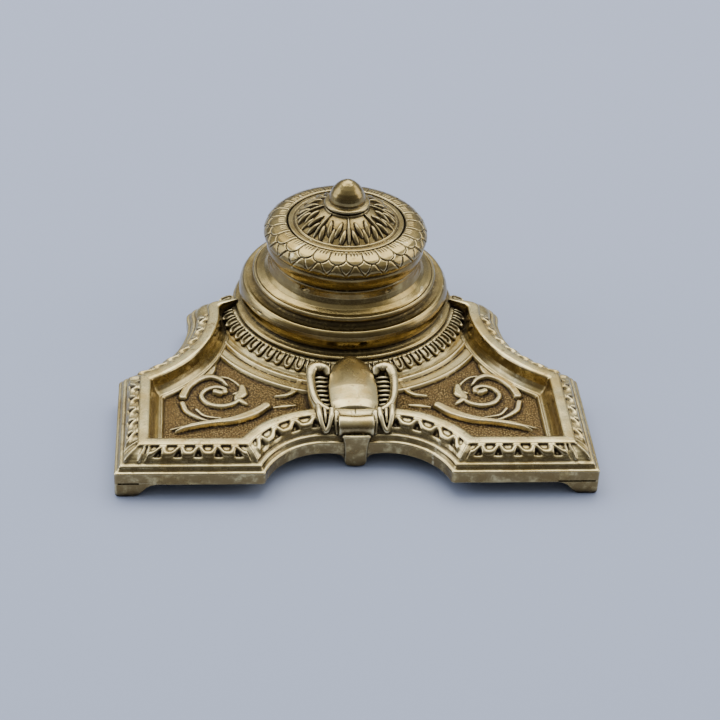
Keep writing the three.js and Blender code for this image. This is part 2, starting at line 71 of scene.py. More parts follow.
BASE_LOW, BASE_HIGH = box_mm("base_casting")
HOUSING_LOW, HOUSING_HIGH = box_mm("well_housing")
LID_LOW, LID_HIGH = box_mm("lid_ring")
DOME_LOW, DOME_HIGH = box_mm("lid_dome")
KNOB_HIGH = box_mm("finial_knob")[1]

# No point comes nearer than the inset to the box that holds all the solids.
INSET = 0.02
WHOLE_LOW = np.array(CAD_BOX[0]) / MM + INSET
WHOLE_HIGH = np.array(CAD_BOX[1]) / MM - INSET

AXIS_Y = (HOUSING_LOW[1] + HOUSING_HIGH[1]) / 2
HALF = BASE_HIGH[0]
FRONT = AXIS_Y - BASE_LOW[1]
APRON_R = BASE_HIGH[1] - AXIS_Y

# Plan of the stand: bows are arcs that bite into its outline, BACK_Y is where the border ends.
WAIST_X = 43.0
BACK_Y = -1.0
SIDE_BOW_R = 29.0
SIDE_BOW_Y = -8.0
FRONT_BOW_R = 16.8
FRONT_BOW_X = 7.3
FRONT_BOW_DROP = 4.4
BRACKET_HALF = 4.8

FOOT_H = 3.8
FOOT_FLAT = 4.5
FOOT_LEN = 10.5
WALL = 2.6
PLINTH_TOP = 7.3
CREST_Z = 12.2
CREST_IN = 8.8
FLOOR_EDGE = 12.1
FLOOR_Z = 6.4
FLOOR_UNDER = 4.9
SEAT_Z = 10.2
COLLAR_TOP_R = 30.0
COLLAR_R = 34.6

rng = np.random.default_rng(11)


# ---- small maths ----
def smooth(low, high, x):
    """0 below low, 1 above high, an even ease between."""
    t = np.clip((x - low) / (high - low), 0, 1)
    return t * t * (3 - 2 * t)


def bump(x, width):
    """A soft hill of height 1 at zero."""
    return np.exp(-(x / width) ** 2)


def resampled(points, step):
    """A polyline cut into equal steps."""
    p = np.asarray(points, float)
    length = np.concatenate([[0], np.cumsum(np.linalg.norm(np.diff(p, axis=0), axis=1))])
    n = max(2, int(math.ceil(length[-1] / step)) + 1)
    at = np.linspace(0, length[-1], n)
    return np.stack([np.interp(at, length, p[:, k]) for k in range(p.shape[1])], axis=1)


def curve_through(points, per_span=10):
    """A Catmull-Rom curve through a few chosen points."""
    p = np.asarray(points, float)
    p = np.concatenate([[2 * p[0] - p[1]], p, [2 * p[-1] - p[-2]]])
    out = []
    for a, b, c, d in zip(p[:-3], p[1:-2], p[2:-1], p[3:]):
        for t in np.arange(per_span) / per_span:
            out.append(0.5 * (2 * b + (c - a) * t + (2 * a - 5 * b + 4 * c - d) * t ** 2
                              + (3 * b - a - 3 * c + d) * t ** 3))
    out.append(p[-2])
    return np.array(out)


def hill(reach):
    """Weights that fall away over so many steps on either side and add up to 1."""
    weights = np.hanning(2 * reach + 3)[1:-1]
    return weights / weights.sum()


def moulding(points, step=0.16, soft=0.25):
    """A closed section with its corners worn round over about the soft length."""
    ring = resampled(list(points) + [points[0]], step)[:-1]
    reach = max(1, int(round(soft / step)))
    out = np.zeros_like(ring)
    for k, w in enumerate(hill(reach)):
        out += w * np.roll(ring, k - reach, axis=0)
    return out


# Directions and phases of the waves that make hand-finished metal uneven.
WAVES = [(rng.normal(size=3), rng.uniform(0, 6.28)) for _ in range(14)]


def uneven(points, scale):
    """Smooth unevenness about -1 to 1, the same every time. scale is its size in millimetres."""
    total = np.zeros(points.shape[:-1])
    for direction, phase in WAVES:
        total += np.sin(points @ direction * 2.2 / scale + phase)
    return total / math.sqrt(len(WAVES)) / 1.4


# ---- meshes ----
def grid_faces(nu, nv, wrap_u=False, wrap_v=False):
    """Four-sided faces over a grid of nu by nv points, joined up where it wraps."""
    u = np.arange(nu if wrap_u else nu - 1)
    v = np.arange(nv if wrap_v else nv - 1)
    a, b = np.meshgrid(u, v, indexing="ij")
    c, d = (a + 1) % nu, (b + 1) % nv
    return np.stack([a * nv + b, c * nv + b, c * nv + d, a * nv + d], axis=-1).reshape(-1, 4)


def volume_of(verts, faces):
    """Above zero when the faces of a closed mesh look outwards."""
    p = verts[faces]
    one = np.einsum("ij,ij->i", p[:, 0], np.cross(p[:, 1], p[:, 2]))
    two = np.einsum("ij,ij->i", p[:, 0], np.cross(p[:, 2], p[:, 3]))
    return (one + two).sum()


def make(name, verts, faces, material, body="stand", slot="cast_brass"):
    """A smooth mesh object in metres from points in millimetres, facing out, riding on its body."""
    verts = np.asarray(verts, float).reshape(-1, 3) + [0, AXIS_Y, 0]
    verts = np.clip(verts, WHOLE_LOW, WHOLE_HIGH)
    faces = np.asarray(faces)
    if volume_of(verts, faces) < 0:
        faces = faces[:, ::-1]
    mesh = bpy.data.meshes.new(name)
    mesh.vertices.add(len(verts))
    mesh.vertices.foreach_set("co", (verts * MM).ravel())
    mesh.loops.add(faces.size)
    mesh.loops.foreach_set("vertex_index", faces.ravel().astype(np.int32))
    mesh.polygons.add(len(faces))
    mesh.polygons.foreach_set("loop_start", np.arange(0, faces.size, 4, dtype=np.int32))
    mesh.update(calc_edges=True)
    mesh.validate()
    mesh.shade_smooth()
    piece = bpy.data.objects.new(name, mesh)
    bpy.context.scene.collection.objects.link(piece)
    mesh.materials.append(material)
    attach(piece, body)
    return piece


def normals_of(p, wrap_u, wrap_v):
    """Unit normals of a grid of points."""
    def slope(axis, wrap):
        if wrap:
            return np.roll(p, -1, axis) - np.roll(p, 1, axis)
        return np.gradient(p, axis=axis)
    n = np.cross(slope(0, wrap_u), slope(1, wrap_v))
    return n / np.maximum(np.linalg.norm(n, axis=-1, keepdims=True), 1e-9)


def turned_grid(section, facets, start=0.0, sweep=2 * math.pi):
    """Points of a section turned about the axis, and the angle of each row."""
    whole = abs(sweep - 2 * math.pi) < 1e-6
    a = start + np.linspace(0, sweep, facets, endpoint=not whole)
    r, z = section[:, 0], section[:, 1]
    x, y = np.cos(a)[:, None] * r, np.sin(a)[:, None] * r
    return np.stack([x, y, z + 0 * x], axis=-1), a


def turned_piece(name, points, facets, material, relief=None, soft=0.2, step=0.16, worn=0.02, **where):
    """A turned closed section. relief(angle, radius, height) is the carving along the normal."""
    section = moulding(points, step, soft)
    p, a = turned_grid(section, facets)
    n = normals_of(p, True, True)
    if (n[..., 2] * (p[..., 2] > p[..., 2].mean())).sum() < 0:
        n = -n
    depth = worn * uneven(p, 2.5)
    if relief is not None:
        depth = depth + relief(a[:, None], section[None, :, 0], section[None, :, 1])
    p = p + n * depth[..., None]
    return make(name, p, grid_faces(*p.shape[:2], True, True), material, **where)


def round_ended(path, radii):
    """A path, its directions and its radii, with a rounded end added at either end."""
    tangent = np.gradient(path, axis=0)
    tangent /= np.linalg.norm(tangent, axis=1, keepdims=True)
    shares = np.array([0.02, 0.5, 0.8, 0.95])
    bulge = np.sqrt(1 - shares ** 2)[:, None]
    first = path[0] - tangent[0] * radii[0] * bulge
    last = path[-1] + tangent[-1] * radii[-1] * bulge[::-1]
    count = len(shares)
    tangent = np.concatenate([[tangent[0]] * count, tangent, [tangent[-1]] * count])
    radii = np.concatenate([radii[0] * shares, radii, radii[-1] * shares[::-1]])
    return np.concatenate([first, path, last]), tangent, radii


def tube(name, path, radii, material, sides=14, squash=1.0, **where):
    """A round-ended rod along a path whose thickness changes. squash flattens it in Z."""
    path = np.asarray(path, float)
    radii = np.interp(np.linspace(0, 1, len(path)), np.linspace(0, 1, len(radii)), radii)
    path, tangent, radii = round_ended(path, radii)
    side = np.cross(tangent, [0, 0, 1.0])
    side[np.linalg.norm(side, axis=1) < 1e-3] = [1, 0, 0]
    side /= np.linalg.norm(side, axis=1, keepdims=True)
    over = np.cross(side, tangent)
    a = np.arange(sides) * 2 * math.pi / sides
    ring = (np.cos(a)[None, :, None] * side[:, None]
            + squash * np.sin(a)[None, :, None] * over[:, None])
    p = path[:, None] + radii[:, None, None] * ring
    return make(name, p, capped_faces(len(path), sides), material, **where)


def capped_faces(rows, sides):
    """Faces of a closed tube of so many rows, with four-sided faces over its two ends."""
    caps = []
    for first in (0, (rows - 1) * sides):
        for k in range(1, sides // 2):
            far = sides - k
            caps.append([first + k - 1, first + k, first + far - 1, first + far % sides])
    caps = np.array(caps)
    half = len(caps) // 2
    caps[half:] = caps[half:, ::-1]
    return np.concatenate([grid_faces(rows, sides, False, True), caps])


def shell_faces(top, count):
    """Faces of a closed shell: the top ones, the same ones count points on, and walls between."""
    edges = np.concatenate([top[:, [k, (k + 1) % 4]] for k in range(4)])
    forward = edges[:, 0].astype(np.int64) * count + edges[:, 1]
    backward = edges[:, 1].astype(np.int64) * count + edges[:, 0]
    rim = edges[~np.isin(forward, backward)]
    walls = np.stack([rim[:, 1], rim[:, 0], rim[:, 0] + count, rim[:, 1] + count], axis=-1)
    return np.concatenate([top, top[:, ::-1] + count, walls])


def slab(name, top, bottom, material, **where):
    """A closed shell between two grids of the same shape."""
    rows, columns = top.shape[:2]
    verts = np.concatenate([top.reshape(-1, 3), bottom.reshape(-1, 3)])
    return make(name, verts, shell_faces(grid_faces(rows, columns), rows * columns), material, **where)


def block_under(name, top, low, material):
    """A closed shell from a grid of points straight down to a flat underside."""
    under = top.copy()
    under[..., 2] = low
    return slab(name, top, under, material)


# ---- plan of the stand ----
# Each run_ function gives x and y on the right side of the border, t of the way along its stretch
# and d millimetres in from the outer face.
def ease_line(a, b, t):
    """The value t of the way from a to b."""
    return a + (b - a) * t


def run_front_bow(t, d):
    r = FRONT_BOW_R + d
    start = np.arccos(-(FRONT_BOW_X - BRACKET_HALF) / r)
    a = ease_line(start, np.arcsin((FRONT_BOW_DROP + d) / r), t)
    return FRONT_BOW_X + r * np.cos(a), -FRONT - FRONT_BOW_DROP + r * np.sin(a)


def bow_corner(d):
    """How far out the front bow meets the straight front."""
    r = FRONT_BOW_R + d
    return FRONT_BOW_X + np.sqrt(r ** 2 - (FRONT_BOW_DROP + d) ** 2)


def shoulder_angle(d):
    """Angle on the side bow where it meets the straight side."""
    return np.pi + np.arccos((WAIST_X + SIDE_BOW_R - HALF + d) / (SIDE_BOW_R + d))


def run_front(t, d):
    return ease_line(bow_corner(d), HALF - d, t), -FRONT + d + 0 * t


def run_side(t, d):
    top = SIDE_BOW_Y + (SIDE_BOW_R + d) * np.sin(shoulder_angle(d))
    return HALF - d + 0 * t, ease_line(-FRONT + d, top, t)


def run_side_bow(t, d):
    a = ease_line(shoulder_angle(d), np.pi, t)
    r = SIDE_BOW_R + d
    return WAIST_X + SIDE_BOW_R + r * np.cos(a), SIDE_BOW_Y + r * np.sin(a)


def run_middle(t, d):
    """The stretch behind the bracket, from the middle out to the start of the front bow."""
    x, y = run_front_bow(0 * t, d)
    return x * t, y + 0 * t


# The rounded scroll that ends the border at the back: its outer face and where its inner edge lies.
LOBE_STEPS = 90
LOBE_FACE = [(WAIST_X, SIDE_BOW_Y), (WAIST_X + 0.4, -5.6), (WAIST_X + 0.3, -3.4), (WAIST_X - 1.2, -1.7),
             (WAIST_X - 4.2, -1.1), (36.0, -1.0), (30.0, -1.0)]
LOBE_HEART = np.array([(WAIST_X - FLOOR_EDGE, SIDE_BOW_Y), (30.6, -6.0), (29.0, -3.5)])
LOBE_OUTER = resampled(curve_through(LOBE_FACE), 0.1)
LOBE_SHARES = np.linspace(0, 1, len(LOBE_OUTER))
LOBE_INNER = np.stack([np.interp(LOBE_SHARES, [0, 0.5, 1], LOBE_HEART[:, k]) for k in (0, 1)], axis=-1)


def run_lobe(t, d):
    share = np.clip(d / FLOOR_EDGE, 0, 1)
    last = len(LOBE_OUTER) - 1
    at = np.clip(t * last, 0, last).astype(int)
    x = LOBE_OUTER[at, 0] * (1 - share) + LOBE_INNER[at, 0] * share
    y = LOBE_OUTER[at, 1] * (1 - share) + LOBE_INNER[at, 1] * share
    return x, y


# Each stretch of border: its steps, then for a carved one the lengths left free of tongues at its
# start and end, and whether leaves fill them.
RUNS = [(run_middle, 12, None, False), (run_front_bow, 150, (2.6, 1.6), False),
        (run_front, 200, (1.6, 4.8), True), (run_side, 200, (4.8, 2.6), True),
        (run_side_bow, 180, (2.0, 1.0), False), (run_lobe, LOBE_STEPS, None, False)]
TONGUE = 5.0
LEAF_REACH = 9
# Inset of the upper and lower edge of the carving, and the height above which it lies.
CARVED_TOP_IN = 5.6
CARVED_LOW_IN = 1.9
CARVED_ABOVE = 7.6


def border_section():
    """Closed section of the border, as inset and height, from the outer foot of the plain band."""
    band = [(0, FOOT_H), (0, PLINTH_TOP - 0.25), (0.3, PLINTH_TOP), (0.75, PLINTH_TOP + 0.05), (0.85, 7.6),
            (1.1, 8.0), (1.25, 8.5), (1.6, 8.75), (2.0, 8.7)]
    ovolo = [(2.2, 8.8), (2.5, 9.5), (3.0, 10.1), (3.7, 10.7), (4.6, 11.15), (5.5, 11.5)]
    crest = [(5.7, 11.9), (6.1, 12.15), (7.0, CREST_Z), (8.0, CREST_Z), (8.5, 12.05), (CREST_IN, 11.7)]
    hollow = [(9.0, 10.8), (9.3, 9.4), (9.9, 8.2), (10.6, 7.4), (11.1, 7.2), (11.4, 7.45), (11.75, 7.2),
              (FLOOR_EDGE, 6.5)]
    under = [(FLOOR_EDGE, FLOOR_UNDER), (8.6, FLOOR_UNDER), (6.6, 9.4), (4.9, 9.4), (WALL, 7.0),
             (WALL, FOOT_H)]
    return band + ovolo + crest + hollow + under


def tongue_relief(tau, w):
    """Carving of one tongue of the border: a ribbon that swings up and down, sunk on either side.
    tau runs 0 to 1 along it, w 0 to 1 from crest to ledge."""
    x = 2 * np.pi * tau
    swing, width_over_length = 0.22, 0.74
    line = 0.36 + swing * (np.cos(x) - 0.25 * np.cos(2 * x))
    slope = swing * 2 * np.pi * (np.sin(x) - 0.5 * np.sin(2 * x)) * width_over_length
    off = (w - line) / np.sqrt(1 + slope ** 2)
    ribbon = 0.62 * bump(off, 0.19)
    under = smooth(0.15, 0.28, off) * (1 - smooth(0.60, 0.76, w))
    above = smooth(0.15, 0.27, -off)
    return ribbon - 0.62 * under - 0.22 * above


def leaf_relief(s, w):
    """Corner leaf of three ribs. s is the distance from the mitre in millimetres, w as above."""
    ribs = bump(s, 0.8) + bump(s - 2.3 - 1.5 * w, 0.42) + bump(s - 3.5 - 2.2 * w, 0.36)
    return (0.55 * ribs - 0.3) * (1 - smooth(0.8, 0.95, w))


def eased_corners(p, reach):
    """Rounds the corners of a swept grid: each point is averaged with its neighbours along the sweep."""
    padded = np.concatenate([2 * p[:1] - p[reach:0:-1], p, 2 * p[-1:] - p[-2:-reach - 2:-1]])
    return sum(w * padded[k:k + len(p)] for k, w in enumerate(hill(reach)))


def border_carving(run, t, w, ends, leafy):
    """Carving of one stretch, as depth along the normal before it fades at its edges."""
    mid_x, mid_y = run(t, np.array([[3.5]]) + 0 * t)
    length = np.hypot(np.diff(mid_x[:, 0]), np.diff(mid_y[:, 0])).sum()
    s = t * length
    first, last = ends
    between = length - first - last
    count = max(1, round(between / TONGUE))
    at_start, at_end = s < first, s > length - last
    to_corner = np.where(at_start, s, np.where(at_end, length - s, LEAF_REACH))
    corner = leaf_relief(np.minimum(to_corner, LEAF_REACH), w) if leafy else 0 * w
    return np.where(at_start | at_end, corner, tongue_relief(((s - first) / between * count) % 1.0, w))


def border(side, brass):
    """The moulded and carved border of one half of the stand, from its middle to the back scroll."""
    section = moulding(border_section(), 0.15, 0.16)
    d, z = section[:, 0][None, :], section[:, 1][None, :]
    on_top = (z > CARVED_ABOVE) & (d < CARVED_TOP_IN + 0.3)
    w = np.clip((CARVED_TOP_IN - d) / (CARVED_TOP_IN - CARVED_LOW_IN), 0, 1)
    fade = smooth(CARVED_LOW_IN, 2.3, d) * (1 - smooth(5.5, 5.8, d)) * on_top
    grids, carved = [], []
    for run, steps, ends, leafy in RUNS:
        t = np.linspace(0, 1, steps, endpoint=run is run_lobe)[:, None]
        x, y = run(t, d + 0 * t)
        grids.append(np.stack([side * x, y, z + 0 * x], axis=-1))
        relief = border_carving(run, t, w, ends, leafy) if ends else 0 * x
        carved.append(relief * fade)
    p = eased_corners(np.concatenate(grids), 7)
    depth = eased_corners(np.concatenate(carved), 1)
    n = normals_of(p, False, True)
    outer_face = np.argmin(np.abs(section[:, 0]) + np.abs(section[:, 1] - 5.5))
    if n[5, outer_face, 1] > 0:
        n = -n
    p = p + n * (depth + 0.025 * uneven(p, 3.0))[..., None]
    name = "border_right" if side > 0 else "border_left"
    return make(name, p, capped_faces(*p.shape[:2]), brass)


# ---- sunken panels ----
# Scrollwork of the right panel, mirrored on the left: points in millimetres about the pot's axis,
# then half widths along the stroke, and height.
VOLUTE = [(34.6, -39.6), (33.2, -39.2), (33.3, -37.9), (35.6, -37.1), (38.4, -38.6), (39.3, -41.3),
          (37.6, -44.3), (34.6, -45.5), (31.6, -44.8), (29.6, -43.0)]
VOLUTE_EYE = [(34.4, -40.0), (35.7, -39.3)]
OUTER_LEAF = [(32.6, -36.3), (34.4, -33.6), (37.2, -32.4), (40.4, -33.9), (42.8, -37.0), (44.2, -41.2)]
LEAF_TIP = [(37.8, -32.2), (36.4, -29.6), (35.4, -26.6)]
INNER_VEIN = [(36.4, -32.0), (32.4, -32.6), (29.6, -35.6), (28.8, -38.0)]
BUD = [(28.6, -36.8), (28.6, -39.6), (29.8, -42.0), (27.6, -44.6)]
BUD_TIP = [(28.4, -39.2), (31.0, -40.0)]
FALLING_LEAF = [(44.2, -44.2), (43.0, -47.8), (39.4, -51.0), (36.8, -52.0)]
FALLING_VEIN = [(40.6, -46.6), (38.4, -49.4), (34.4, -50.4)]
STEM = [(46.0, -56.6), (41.6, -54.4), (36.4, -53.0), (31.0, -51.8), (26.2, -49.2), (22.4, -45.8)]
STEM_EDGE = [(47.4, -55.4), (42.4, -53.6), (38.2, -52.6)]
BRACKET_SPRIG = [(14.8, -45.0), (17.6, -45.4), (20.6, -46.0)]
BRACKET_LEAF = [(13.6, -31.4), (13.5, -35.0), (14.8, -38.6), (17.0, -40.8), (20.0, -41.2)]
STROKES = [(VOLUTE_EYE, (0.95, 0.9), 1.3), (VOLUTE, (0.9, 0.75, 0.7, 0.75, 0.8, 0.6), 1.0),
           (OUTER_LEAF, (0.4, 0.8, 1.0, 1.1, 1.3), 1.1), (LEAF_TIP, (1.1, 0.9, 0.2), 0.9),
           (INNER_VEIN, (0.35, 0.4, 0.5), 0.6), (BUD, (0.9, 1.6, 1.2, 0.5), 0.9), (BUD_TIP, (1.2, 0.3), 0.8),
           (FALLING_LEAF, (0.9, 0.8, 0.5, 0.3), 0.9), (FALLING_VEIN, (0.5, 0.45, 0.3), 0.6),
           (STEM, (0.2, 0.9, 0.9, 1.3, 1.6, 1.3), 1.5), (STEM_EDGE, (0.2, 0.5, 0.4), 0.8),
           (BRACKET_SPRIG, (0.3, 0.7, 0.3), 0.7), (BRACKET_LEAF, (0.6, 0.8, 0.9, 0.7, 0.3), 1.0)]


def stroke_height(x, y, points, widths, height):
    """Height of one rounded stroke above the floor, at each point of a grid."""
    path = curve_through(points, 6)
    shares = np.linspace(0, 1, len(path))
    half = np.interp(shares, np.linspace(0, 1, len(widths)), widths)
    best = np.zeros_like(x)
    reach = max(widths) + 0.3
    low, high = path.min(axis=0) - reach, path.max(axis=0) + reach
    near = (x > low[0]) & (x < high[0]) & (y > low[1]) & (y < high[1])
    px, py = x[near], y[near]
    top = np.zeros_like(px)
    for (ax, ay), (bx, by), ha, hb in zip(path[:-1], path[1:], half[:-1], half[1:]):
        dx, dy = bx - ax, by - ay
        t = np.clip(((px - ax) * dx + (py - ay) * dy) / (dx * dx + dy * dy), 0, 1)
        wide = ha + (hb - ha) * t
        off = np.hypot(px - ax - t * dx, py - ay - t * dy) / wide
        top = np.maximum(top, (1 - smooth(0.62, 1.12, off)) * np.minimum(1, wide + 0.45) * height * 0.95)
    best[near] = top
    return best


def panel_height(x, y):
    """Height of the floor with its strokes, and the two fillets that ring the collar."""
    r = np.hypot(x, y)
    h = np.full_like(x, FLOOR_Z)
    for points, widths, height in STROKES:
        h = np.maximum(h, FLOOR_Z + stroke_height(np.abs(x), y, points, widths, height))
    band = 0.75 * (1 - smooth(41.2, 42.0, r)) + 0.3 * bump(r - 41.0, 0.35) + 0.45 * bump(r - 36.8, 0.45)
    band -= 0.35 * bump(r - 37.8, 0.4)
    return np.maximum(h, FLOOR_Z + np.maximum(band, 0))


def inside_plan(x, y, d):
    """True where a point lies on the stand, at least d in from its outer face."""
    ax = np.abs(x)
    bow_y = -FRONT - FRONT_BOW_DROP
    ok = (y > -FRONT + d) & (y < BACK_Y - d + 2) & (ax < HALF - d)
    ok &= np.hypot(ax - FRONT_BOW_X, y - bow_y) > FRONT_BOW_R + d
    ok &= ~((ax < FRONT_BOW_X) & (y < bow_y + FRONT_BOW_R + d))
    ok &= np.hypot(ax - WAIST_X - SIDE_BOW_R, y - SIDE_BOW_Y) > SIDE_BOW_R + d
    ok &= ~((ax > WAIST_X - d) & (y > SIDE_BOW_Y))
    return ok


def panels(matted):
    """The sunken floor with its raised scrolls: one closed slab over the whole plan."""
    step = 0.2
    tucked_under_border, tucked_under_collar = 10.9, 33.0
    xs = np.arange(-51, 51 + step, step)
    ys = np.arange(-64, 0, step)
    x, y = np.meshgrid(xs, ys, indexing="ij")
    keep = inside_plan(x, y, tucked_under_border) & (np.hypot(x, y) > tucked_under_collar)
    cell = keep[:-1, :-1] & keep[1:, :-1] & keep[1:, 1:] & keep[:-1, 1:]
    index = np.arange(x.size).reshape(x.shape)
    i, j = np.nonzero(cell)
    top = np.stack([index[i, j], index[i + 1, j], index[i + 1, j + 1], index[i, j + 1]], axis=-1)
    used, packed = np.unique(shell_faces(top, x.size), return_inverse=True)
    upper = np.stack([x, y, panel_height(x, y)], axis=-1).reshape(-1, 3)
    lower = np.stack([x, y, 0 * x + FLOOR_UNDER], axis=-1).reshape(-1, 3)
    verts = np.concatenate([upper, lower])[used]
    return make("panel_floor", verts, packed.reshape(-1, 4), matted)


# ---- collar of flutes ----
FLUTES = 68


def flute_relief(a, w):
    """Carving of the U-shaped flutes. w runs 0 to 1 from their open end out to their round end."""
    tau = (a * FLUTES / (2 * np.pi)) % 1.0 - 0.5
    low = np.maximum((w - 0.58) / 0.27, 0)
    ring = np.sqrt((tau / 0.30) ** 2 + low ** 2)
    rim = 0.42 * bump(ring - 1, 0.24)
    hollow = -0.30 * (1 - smooth(0.5, 0.9, ring))
    gap = -0.38 * smooth(1.15, 1.4, ring) * (1 - smooth(0.9, 1.0, w))
    return (rim + hollow + gap) * smooth(0.04, 0.14, w) * (1 - smooth(0.93, 1.0, w))


def collar(brass):
    """The fluted collar round the front of the well, a little more than half a turn."""
    foot_r, under, flutes_from = 36.4, 5.2, 30.7
    line = [(COLLAR_TOP_R, 8.0), (COLLAR_TOP_R, SEAT_Z - 0.02), (30.6, SEAT_Z), (32.0, 9.95), (33.2, 9.4),
            (34.1, 8.6), (COLLAR_R, 7.6), (35.1, 7.15), (35.9, 7.0), (foot_r, FLOOR_Z), (foot_r, under),
            (COLLAR_TOP_R, under)]
    section = moulding(line, 0.15, 0.2)
    p, a = turned_grid(section, 900, math.radians(-184), math.radians(188))
    w = np.clip((section[:, 0] - flutes_from) / (COLLAR_R + 0.1 - flutes_from), 0, 1)[None, :]
    top = (section[:, 1] > 6.9)[None, :] & (section[:, 0] > 30.6)[None, :]
    n = normals_of(p, False, True)
    if n[100, np.argmax(section[:, 1]), 2] < 0:
        n = -n
    p = p + n * (flute_relief(a[:, None], w) * top + 0.02 * uneven(p, 2.0))[..., None]
    return make("fluted_collar", p, capped_faces(*p.shape[:2]), brass)


def seat(brass):
    """The flat seat under the well, with the round apron behind it."""
    seat_in, under = 18.2, 8.6
    apron = [(seat_in, under), (seat_in, SEAT_Z), (30.2, SEAT_Z), (30.7, 9.9), (APRON_R - 0.3, 9.2),
             (APRON_R - 0.25, 8.2), (APRON_R - 0.6, 7.9), (APRON_R - 0.6, 7.5), (APRON_R, PLINTH_TOP),
             (APRON_R, FOOT_H), (APRON_R - WALL, FOOT_H), (APRON_R - WALL, under)]
    return turned_piece("seat_ring", apron, 220, brass, soft=0.15)


# ---- front bracket ----
FACE_Y = -(FRONT + FRONT_BOW_DROP - FRONT_BOW_R + 1)
BRACKET_BACK = -31.4
BRACKET_LOW = 5.6


def shield(brass):
    """The plain domed shield, as a closed shell whose edge runs down into the floor."""
    v = np.linspace(0, 1, 90)[:, None]
    u = np.linspace(-1, 1, 60)[None, :]
    wide = np.interp(v, [0, 0.02, 0.07, 0.16, 0.3, 0.55, 0.85, 1], [1.6, 2.6, 3.7, 4.8, 5.7, 6.3, 6.2, 5.6])
    crown = np.interp(v, [0, 0.1, 0.3, 0.6, 0.85, 1], [13.5, 13.65, 13.75, 13.75, 13.4, 12.9])
    face_share = 0.86
    inner = np.clip(np.abs(u) / face_share, 0, 1)
    skirt = np.clip((np.abs(u) - face_share) / (1 - face_share), 0, 1)
    x = np.sign(u) * wide * inner
    y = ease_line(BRACKET_BACK, FACE_Y + 8.4, v) + 0 * u
    z = ease_line(crown - 1.5 * inner ** 2.2, BRACKET_LOW, skirt ** 1.5)
    ends = smooth(0, 0.035, v) * (1 - smooth(0.965, 1, v))
    z = BRACKET_LOW + (z - BRACKET_LOW) * (0.55 + 0.45 * ends)
    return block_under("shield", np.stack([x, y, z], axis=-1), BRACKET_LOW - 0.1, brass)


# The shoulder of the bracket: centre line of its rolled rim, and the outline of the slab under it.
RIM = [(6.3, -38.4, 12.2), (6.9, -37.0, 12.8), (8.4, -36.4, 13.0), (10.2, -37.2, 13.0), (10.9, -40.4, 12.9),
       (10.8, -45.0, 12.7), (10.1, -49.4, 12.5), (8.8, -52.6, 12.4), (7.0, -54.2, 12.2)]
SHOULDER = [(6.0, -37.0), (8.4, -35.8), (10.9, -37.4), (11.5, -40.5), (11.4, -45.0), (10.5, -49.6),
            (9.0, -53.0), (6.0, -54.4)]
LOOP = [(9.5, -53.6, 12.6), (9.3, -56.4, 12.5), (8.8, -58.9, 11.3), (7.9, -60.4, 9.9), (6.9, -59.6, 10.9),
        (6.3, -57.4, 12.4), (6.1, -55.0, 12.7)]
DROP = [(7.9, -54.6, 12.5), (7.8, -57.0, 12.2), (7.8, -58.6, 11.2)]
INNER_DROP = [(5.0, -56.0, 12.3), (5.1, -58.6, 11.2), (4.9, -60.4, 9.3)]
RIBS = 7
RIB_FIRST_Y = -39.8
RIB_PITCH = 2.0


def volute(side, brass):
    """One shoulder of the bracket: a thick rolled rim round a row of ribs, with a loop hanging from it."""
    tag = "right" if side > 0 else "left"
    flip = np.array([side, 1, 1])

    def rod(name, line, radii, **shape):
        tube(f"{name}_{tag}", curve_through(line, 8) * flip, radii, brass, **shape)

    rod("rim", RIM, [0.7, 1.5, 1.9, 1.6, 1.2, 1.1, 1.0, 1.0, 0.8], squash=0.75)
    outline = curve_through(SHOULDER, 8)
    share = np.linspace(0, 1, 10)[None, :, None]
    inner = np.stack([np.full(len(outline), 5.4 * side), outline[:, 1]], axis=-1)[:, None, :]
    flat = outline[:, None, :] * [side, 1] * share + inner * (1 - share)
    top = np.concatenate([flat, np.full(flat.shape[:2] + (1,), 10.9)], axis=-1)
    block_under("shoulder_" + tag, top, BRACKET_LOW, brass)
    for i in range(RIBS):
        y = RIB_FIRST_Y - RIB_PITCH * i
        reach = 10.2 - 0.1 * max(0, i - 2) ** 1.6
        arch = [(6.4, y + 0.7, 11.0), ((6.4 + reach) / 2, y + 0.2, 11.6), (reach, y, 11.5)]
        tube(f"rib_{tag}_{i + 1}", curve_through(arch, 6) * flip, [0.45, 0.55, 0.5], brass, sides=10)
    rod("loop", LOOP, [0.9, 0.75, 0.62, 0.6, 0.62, 0.7, 0.8])
    rod("drop", DROP, [0.5, 0.45, 0.3])
    rod("inner_drop", INNER_DROP, [0.9, 0.7, 0.4])


ROLL_HALF = 4.6
ROLL_R = 2.9
ROLL_Z = 10.2
# Half width against height of the bracket's foot, and of the web behind it.
FOOT_SHAPE = [(0, 1.0), (0.25, 1.9), (0.8, 2.6), (1.8, 2.95), (4, 2.9), (7, 3.1), (9.4, 3.6)]
WEB_SHAPE = [(0, 0.6), (0.3, 1.4), (1.0, 2.6), (2.4, 3.3), (3.1, 4.0), (3.5, 5.2), (3.8, 7.0), (4.6, 8.4)]


